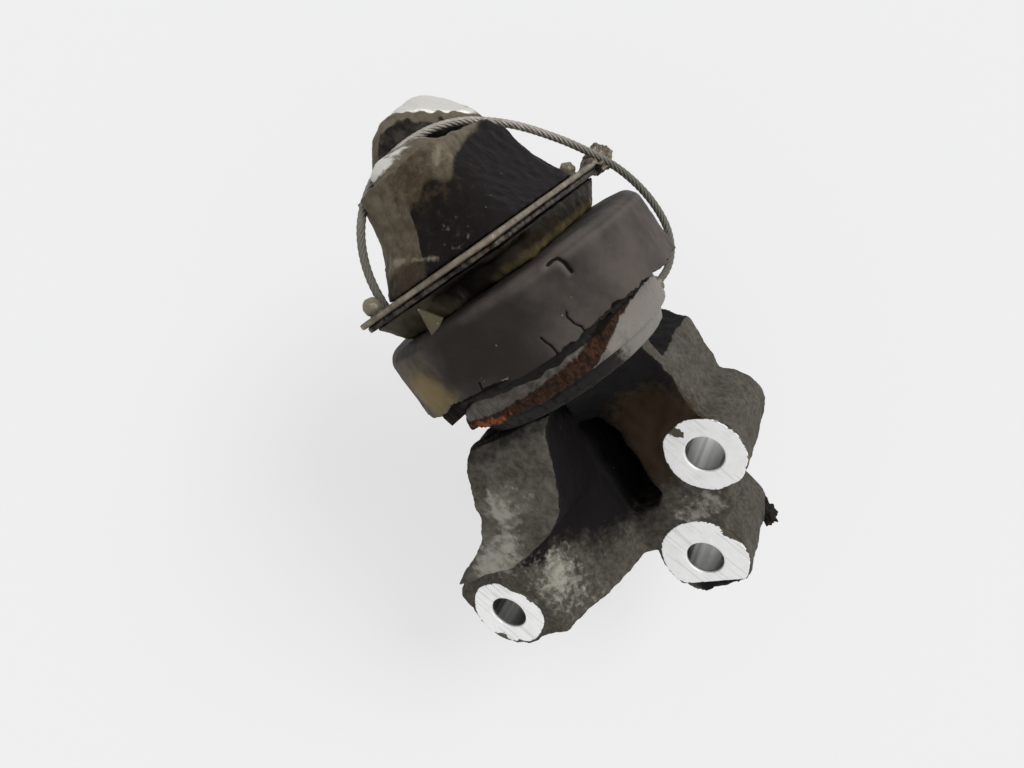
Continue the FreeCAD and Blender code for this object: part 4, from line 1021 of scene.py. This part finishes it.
def plates():
    """Both sheets of the limiter plate, with blunt edges, small dents and a rough ear."""
    for node, grain, name in (("limiter_plate", 0.42, "limiter_plate_worn"),
                              ("backing_plate", 0.45, "backing_plate_worn")):
        sheet = Casting(node, grain)
        sheet.smooth(2)
        p = sheet.points
        along = p[:, :2] @ GROOVE
        ear = step(42, 46, along)
        push = 0.03 * ripples(p, 5.0, 31) + ear * (0.2 * ripples(p, 2.4, 32) + 0.1 * ripples(p, 1.0, 33))
        dents = spots(p, [(23.5, -39.5, 19.4, 2.2, 1.0), (10, -39.5, 19, 1.8, 0.7),
                          (26.5, -12, 19.2, 2.5, 0.6)])
        sheet.push(push - 0.5 * dents * (node == "backing_plate"))
        p, n = sheet.points, sheet.normals
        wear = np.clip(sheet.edge_wear(2), -1, 1)
        rim = step(0.5, 0.2, np.abs(n[:, 2]))
        rust = 0.34 * ear + spots(p, [(24, -39.5, 20, 1.5, 0.7), (-20, 34, 22, 8, 0.2)])
        # darker on faces turned down and over the backing plate under the limiter plate: painted shade;
        # darker on the rough ear: dirt
        soot_and_shade = 0.5 * step(-0.3, -0.8, n[:, 2]) + 0.3 * ear + 0.55 * (node == "backing_plate")
        bare_and_lit = 0.3 * rim * (node == "limiter_plate") + 0.1
        sheet.piece(name, "plate_steel", PLATE_STEEL,
                    {"edge_wear": wear, "rust": rust, "soot_and_shade": soot_and_shade, "bare_and_lit": bare_and_lit,
                     "orange": spots(p, [(24, -39.5, 20, 1.5, 0.9)])})


RIVET_BALL = 2.75
SHANK_RADIUS = 1.6


def rivets():
    """Hammered ball-headed rivets: a section of shank, neck and ball turned about each one."""
    low, high = node_box("plate_rivets")
    places = ((low[0] + RIVET_BALL, low[1] + RIVET_BALL), (high[0] - RIVET_BALL, high[1] - RIVET_BALL))
    bend = np.linspace(-0.72, 1.0, 20) * np.pi / 2
    top = high[2] - RIVET_BALL
    shank = [(0.001, low[2]), (SHANK_RADIUS, low[2]), (SHANK_RADIUS, 22.6), (2.15, 22.7), (1.95, 23.2)]
    head = np.column_stack((RIVET_BALL * np.cos(bend), top + RIVET_BALL * np.sin(bend)))
    section = np.concatenate((shank, head))
    section[-1, 0] = 0.001
    angles, _ = full_turn(40)
    for number, (x, y) in enumerate(places, start=1):
        points = turned_points(section, angles).reshape(-1, 3) + np.array((x, y, 0))
        middle = np.array((x, y, top))
        swell = (1 + 0.035 * ripples(points, 1.8, 50 + number))[:, None]
        points = middle + (points - middle) * np.where(points[:, 2:] > 22.8, swell, 1.0)
        # below the ball head the rivet is darker: painted shade under the head
        piece = make_piece("rivet_%d" % number, RIVET_STEEL, place(points),
                           grid_faces(len(section), len(angles)),
                           {"bare_and_lit": spots(points, [(x, y, top + 2, 1.6, 0.4)]),
                            "soot_and_shade": 0.5 * step(23.6, 22.8, points[:, 2])})
        close_poles(piece)
        if number == 1:
            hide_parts("plate_rivets")


def collar():
    """The oily rubber stop, softened, pale on its outer side."""
    stop = Casting("stop_collar", 0.7)
    stop.smooth(10)
    stop.push(0.14 * ripples(stop.points, 7.0, 61) + 0.05 * ripples(stop.points, 2.5, 62))
    p = stop.points
    outside = step(-20, -30, p[:, 1]) * step(2, -3, p[:, 0])
    # darker near the plate above it and in the recess between x 8 and 20: painted shade under the plate and
    # in the recess
    soot_and_shade = 0.55 * step(15.5, 18.5, p[:, 2]) + 0.5 * step(8, 14, p[:, 0]) * step(20, 12, p[:, 0])
    stop.piece("collar_rubber", "collar_rubber", COLLAR_RUBBER, {
        "light": 0.5 * outside, "soot_and_shade": soot_and_shade * (1 - outside),
        "earth": 0.45 * step(4, 12, p[:, 0]) * step(16, 12, p[:, 2])})


FLAP_CORNERS = np.array(((-4.6, -40.2, 17.8), (0.6, -40.6, 11.9), (-3.4, -43.6, 8.4)))
FLAP_SIDE = 14


def collar_flap():
    """A triangle between three corners, bulged outwards by sin(pi u) sin(pi v), with a back and a rim."""
    first, second, third = FLAP_CORNERS
    share = np.linspace(0, 1, FLAP_SIDE)
    u, v = np.meshgrid(share, share, indexing="ij")
    flat = (first * (1 - u)[..., None] + u[..., None] * (
        second * (1 - v)[..., None] + third * v[..., None]))
    bulge = 0.6 * np.sin(np.pi * u) * np.sin(np.pi * v)
    front = flat + np.stack((0 * u, -bulge, 0 * u), -1)
    rear = flat + np.stack((0 * u, 0.9 + 0 * u, 0 * u), -1)
    points = np.concatenate((front.reshape(-1, 3), rear.reshape(-1, 3)))
    count = FLAP_SIDE * FLAP_SIDE
    faces = grid_faces(FLAP_SIDE, FLAP_SIDE, close_columns=False)
    rim = np.concatenate((np.arange(0, FLAP_SIDE), np.arange(2 * FLAP_SIDE - 1, count, FLAP_SIDE),
                          np.arange(count - 2, count - FLAP_SIDE - 1, -1),
                          np.arange(count - 2 * FLAP_SIDE, 0, -FLAP_SIDE)))
    after = np.roll(rim, -1)
    wall = np.column_stack((rim, rim + count, after + count, after))
    flap = make_piece("collar_flap", COLLAR_RUBBER, place(points),
                      np.concatenate((faces, faces[:, ::-1] + count, wall)),
                      {"light": np.full(len(points), 1.0), "chalk": np.full(len(points), 0.3)})
    close_poles(flap)


# ---------------------------------------------------------------- rubber boot

# each crack as corners (degrees round the boot, height)
CRACKS = (
    ((-59.5, -11.5), (-59.9, -8.6), (-60.8, -6.9), (-61.2, -5.4)),
    ((-48.5, -11.5), (-48.2, -9.2), (-49.6, -7.6), (-50.4, -5.0), (-49.6, -3.8)),
    ((-88.0, -11.5), (-88.6, -9.0), (-88.0, -7.0)),
)
SHOULDER_CUT = ((30.6, -31.8, 8.2), (32.0, -30.7, 8.7), (33.1, -29.7, 8.2), (33.9, -29.6, 6.3),
                (34.1, -29.4, 3.6))
# radius and height of the corners of the hollow inside
BOOT_HOLLOW = ((36.1, -8.6), (34.4, -7.4), (33.1, -4.9), (33.1, 4.75), (29.3, 8.25), (15.5, 8.25))


def rubber_boot():
    """The boot turned from its section: cap, shoulder, wall, ragged lower edge and hollow inside.

    The wall's foot lies at a height that wanders with the angle, cracks run up from it, and the
    shoulder has one cut with a raised lip.
    """
    angles, around = full_turn(820)
    low, high = node_box("rubber_boot")
    radius, top, foot = high[0], high[2], low[2]
    corner = 5.0
    skirt = 2.6
    tear = 0.45 + 0.5 * ripples(around, 0.55, 71) + 0.22 * ripples(around, 0.13, 72)
    tear += 0.12 * ripples(around, 0.05, 73)
    turn = signed_degrees(angles)
    tear += 0.9 * hump(turn, -95, 14) - 0.5 * hump(turn, -65, 9)
    tear += 0.7 * hump(turn, -36, 5)
    tear = np.clip(tear, -0.35, 2.6)
    cap = [(r, top) for r in np.linspace(15.5, radius - corner, 44)]
    bend = np.linspace(0, np.pi / 2, 24)[1:]
    shoulder = [(radius - corner + corner * np.sin(a), top - corner + corner * np.cos(a)) for a in bend]
    edge = foot + tear
    wall = [(radius, (top - corner) * (1 - share) + edge * share) for share in np.linspace(0, 1, 34)[1:]]
    outer_rows = len(cap) + len(shoulder) + len(wall)
    rows = cap + shoulder + wall
    rows += [(radius - 0.4, edge - 0.25), (radius - skirt + 0.5, edge - 0.1), (radius - skirt, edge + 0.4)]
    rows += BOOT_HOLLOW
    profile = np.array([np.broadcast_arrays(r, z, edge)[:2] for r, z in rows]).transpose(0, 2, 1)
    points = turned_points(profile, angles).reshape(-1, 3)
    outer = np.repeat(np.arange(len(rows)) < outer_rows, len(angles))
    r = np.hypot(points[:, 0], points[:, 1])
    degrees = np.degrees(np.arctan2(points[:, 1], points[:, 0]))
    outward = np.column_stack((points[:, 0] / r, points[:, 1] / r, 0 * r))
    on_wall = step(radius - corner, radius - 0.5, r) * outer
    swell = 0.16 * ripples(points, 16.0, 74) + 0.06 * ripples(points, 5.0, 75)
    gap = np.full(len(points), 1e9)
    surface = np.column_stack((degrees * math.radians(1) * radius, points[:, 2]))
    for crack in CRACKS:
        path = [(math.radians(a) * radius, z) for a, z in crack]
        gap = np.minimum(gap, line_distance(surface, path))
    crack_depth = hump(gap, 0, 0.28)
    cut_depth = hump(line_distance(points, SHOULDER_CUT), 0, 0.55) * outer
    lip = hump(line_distance(points + np.array((0.9, 1.0, 0.0)), SHOULDER_CUT), 0, 0.8) * outer
    inward = swell - 0.7 * crack_depth * on_wall - 1.0 * cut_depth + 0.45 * lip
    wave = ripples(around[np.arange(len(points)) % len(angles)], 0.4, 76)
    flare = 0.35 * step(-6, -10.5, points[:, 2]) * wave
    points += outward * ((inward + flare) * outer)[:, None]
    points[:, 2] += 0.12 * ripples(points[:, :2], 14.0, 77) * outer * step(radius - 2, radius - 8, r)
    # darker in the cracks and the cut, inside the boot and under its skirt: painted shade
    soot_and_shade = 1.2 * crack_depth * on_wall + 1.2 * cut_depth + (1.0 - outer)
    soot_and_shade += np.repeat([0.0] * outer_rows + [0.35] + [1.0] * (len(rows) - outer_rows - 1), len(angles))
    # light: painted light on the side turned to the light, a painted highlight along the shoulder and on the
    # cut's raised lip, and paler dusty patches on the left side
    side = step(radius - 1, radius - 0.2, r)
    light = side * np.interp(degrees, (-180, -130, -112, -98, -84, -66, -50, -28, 0, 90, 180),
                             (0.5, 0.5, 0.55, 0.2, 0.02, 0.12, 0.34, 0.56, 0.6, 0.5, 0.5))
    light += 0.62 * hump(points[:, 2], 9.4, 1.8) * np.interp(
        degrees, (-180, -100, -80, -60, -40, 180), (0.5, 0.4, 0.6, 0.9, 1, 0.6))
    light += 0.2 * hump(degrees, -62, 20) * step(0, -9, points[:, 2])
    light += 0.5 * lip + 0.05 * ripples(points, 14.0, 78)
    earth = spots(points, [(-20, -40, -4, 6, 0.62), (-14, -43, -8, 6, 0.35), (-26, -37, 0, 6, 0.3),
                           (-12, -43, 4, 5, 0.25)])
    chalk = spots(points, [(43.5, 11, 2.5, 1.3, 0.6), (31.5, -32, -1.5, 0.6, 0.55), (28, -35, -4, 0.5, 0.6),
                           (12, -43.5, -1, 0.4, 0.6), (41, -18, 3, 0.4, 0.6), (41, 18, 6, 1.5, 0.55)])
    scrape = line_distance(points, [(2.6, -44.9, -4.2), (3.4, -44.9, -7), (2.2, -44.9, -9.8)])
    chalk += 0.5 * hump(scrape, 0, 0.22)
    chalk += (0.6 * hump(points[:, 2], foot + 1.2, 0.5)
              * step(-110, -95, degrees) * step(-68, -80, degrees))
    piece = make_piece("boot_rubber", BOOT_RUBBER, place(points),
                       grid_faces(len(rows), len(angles), close_rows=True),
                       {"soot_and_shade": np.clip(soot_and_shade, 0, 1.2), "light": light, "earth": earth, "chalk": chalk})
    fix_normals(piece)
    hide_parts("rubber_boot")


# ---------------------------------------------------------------- rusty rim and cup under the boot

def crimped_rim():
    """The crimped steel ring: its section turned, its lower lip swollen and eaten by rust."""
    angles, around = full_turn(720)
    low, high = node_box("crimp_ring")
    radius, top, foot = high[0], high[2], low[2]
    turn = signed_degrees(angles)
    lip = 0.55 * ripples(around, 0.35, 81) + 0.3 * ripples(around, 0.09, 82)
    section = loop_points([(33.2, top), (radius - 0.5, top), (radius, top - 0.6), (radius, foot + 0.8),
                           (radius - 0.3, foot), (33.3, foot), (33.3, foot + 1.2), (34.5, foot + 1.3),
                           (34.5, top - 1.2), (33.2, top - 1.2)], 0.45)
    radii = np.repeat(section[:, :1], len(angles), 1)
    levels = np.repeat(section[:, 1:], len(angles), 1)
    ridge = np.interp(turn, (-180, -125, -95, -68, -52, -40, -28, -12, 60, 180),
                      (foot + 1, foot + 1, foot + 1, foot + 1.4, foot + 2.6, -16, -13, top - 0.4, top,
                       foot + 1))
    width = np.interp(turn, (-180, -120, -70, -45, -20, 20, 180), (1.0, 1.8, 2.9, 3.1, 1.4, 0.5, 1.0))
    rust = hump(levels, ridge, width)
    outside = radii > radius - 1.2
    radii = radii + np.clip((0.55 + lip) * rust * outside, -0.8, 1.6)
    levels = levels - 0.5 * np.clip(lip, -0.5, 1.2) * rust * (levels < foot + 1.5) * outside
    points = turned_points(np.stack((radii, levels), -1), angles).reshape(-1, 3)
    points += 0.06 * ripples(points, 2.0, 83)[:, None] * points * np.array((1, 1, 0)) / radius
    # darker round the far side, turned from the light: painted shade, with dirt
    dark = 0.55 * np.interp(turn, (-180, -60, -20, 180), (1, 0.0, 0.0, 1))[None] + 0 * levels
    glow = np.interp(turn, (-180, -135, -120, -95, -80, 180), (0.1, 0.3, 0.7, 0.5, 0.12, 0.1))
    # brighter on the side turned to the light: painted light
    lit_side = np.interp(turn, (-180, -120, -60, -30, -10, 60, 180), (0.2, 0.35, 0.35, 0.75, 0.95, 0.9, 0.2))
    shadow = np.interp(turn, (-180, -120, -90, -60, -40, -15, 180),
                       (-13.2, -13.4, -14.7, -15.6, -15.0, -12.6, -13.2))
    shade = 1.15 * step(-0.5, 0.4, levels - shadow + 0.5 * ripples(around, 0.2, 85)) + 0.5 * dark
    marks = {"rust": 1.05 * rust.ravel() + 0.1, "bare_and_lit": (lit_side + 0 * levels).ravel(),
             "soot_and_shade": shade.ravel(), "orange": (glow * rust).ravel()}
    piece = make_piece("crimped_rim", RING_STEEL, place(points),
                       grid_faces(len(section), len(angles), close_rows=True), marks)
    fix_normals(piece)
    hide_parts("crimp_ring")


def pressed_cup():
    """The cup below the rim, turned from its section, with rust creeping up from its foot."""
    angles, _ = full_turn(480)
    low, high = node_box("lower_cup")
    foot, top = low[2], high[2]
    section = loop_points([(6.0, foot), (30.2, foot), (31.6, foot + 0.7), (32.2, foot + 2),
                           (33.0, foot + 3.6), (33.1, foot + 5.2), (34.3, foot + 5.3), (34.3, top),
                           (31.6, top), (30.4, foot + 2.4), (29.4, foot + 1.8), (6.0, foot + 1.8)], 0.8)
    points = turned_points(section, angles).reshape(-1, 3)
    reach = np.hypot(points[:, 0], points[:, 1])
    dent = 0.08 * ripples(points, 6.0, 91) * step(29, 31, reach)
    points += dent[:, None] * points * np.array((1, 1, 0)) / 33
    turn = np.degrees(np.arctan2(points[:, 1], points[:, 0]))
    # darker round the side turned from the light and brighter on the lit side: painted shade and painted
    # light, with grime
    grime_and_shade = np.interp(turn, (-180, -52, -22, 60, 180), (1.1, 1.05, 0.1, 0.1, 1))
    piece = make_piece("pressed_cup", CUP_STEEL, place(points),
                       grid_faces(len(section), len(angles), close_rows=True),
                       {"rust": 0.4 * grime_and_shade, "soot_and_shade": 1.05 * grime_and_shade, "bare_and_lit": 0.9 - 0.8 * grime_and_shade})
    fix_normals(piece)
    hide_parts("lower_cup")


SEAL_STEPS = 5


def torn_band():
    """Remains of a rubber seal between boot and rim, with a loose chunk at one side.

    A closed section turned round the rim; its thickness wanders with the angle.
    """
    angles, around = full_turn(720)
    turn = signed_degrees(angles)
    ragged = ripples(around, 0.25, 101) + 0.6 * ripples(around, 0.07, 102)
    chunk = hump(turn, -128, 12)
    shreds = ripples(around, 0.05, 103)
    outer = 38.6 + 0.5 * ragged + (1.4 + 0.6 * ragged + 0.7 * shreds) * chunk
    lower = -12.3 + 0.35 * ragged - (2.8 + 1.0 * ragged + 1.1 * shreds) * chunk
    corners = [(36.1 + 0 * outer, -9.6 + 0 * outer), (outer, -10.2 + 0 * outer),
               (outer + 0.3, 0.5 * (lower - 10.2)), (outer - 0.4, lower),
               (36.1 + 0 * outer, lower + 0.4)]
    rows = []
    for (r0, z0), (r1, z1) in zip(corners, corners[1:] + corners[:1]):
        rows += [(r0 + (r1 - r0) * k / SEAL_STEPS, z0 + (z1 - z0) * k / SEAL_STEPS)
                 for k in range(SEAL_STEPS)]
    profile = np.array(rows).transpose(0, 2, 1)
    points = turned_points(profile, angles).reshape(-1, 3)
    piece = make_piece("torn_seal", TORN_RUBBER, place(points),
                       grid_faces(len(rows), len(angles), close_rows=True),
                       {"soot_and_shade": 0.2 + 0 * points[:, 0], "light": spots(points, [(-27, -30, -15, 2.5, 0.5)])})
    fix_normals(piece)


# ---------------------------------------------------------------- pieces inside and small parts

def inner_finishes():
    """Finishes of the CAD pieces that stay as they are."""
    steel = plain_finish("inner_steel", colour(120, 120, 118), colour(96, 96, 94), 0.8, 0.4)
    rubber = plain_finish("inner_rubber", colour(34, 33, 32), colour(44, 43, 41), 0.0, 0.65)
    plastic = plain_finish("inner_plastic", colour(40, 40, 42), colour(52, 52, 54), 0.0, 0.5)
    metal = plain_finish("core_metal", colour(150, 150, 148), colour(128, 128, 126), 0.8, 0.45)
    for node, finish in (("core", metal), ("core_stud", steel), ("support_ring", steel),
                         ("base_stud", steel), ("locating_pin", steel), ("rubber_spring", rubber),
                         ("decoupler", rubber), ("diaphragm", rubber), ("orifice_plate_upper", plastic),
                         ("orifice_plate_lower", plastic), ("rope_anchor", RIVET_STEEL)):
        materials = frame["nodes"][node].data.materials
        materials.clear()
        materials.append(finish)


make_camera()
limiter_rope()
make_lights()
make_floor()
bracket_casting()
bolt_rings()
dirt_lump()
bell_casting()
plates()
rivets()
collar()
collar_flap()
rubber_boot()
crimped_rim()
pressed_cup()
torn_band()
inner_finishes()

SCENE.view_settings.view_transform = "Standard"
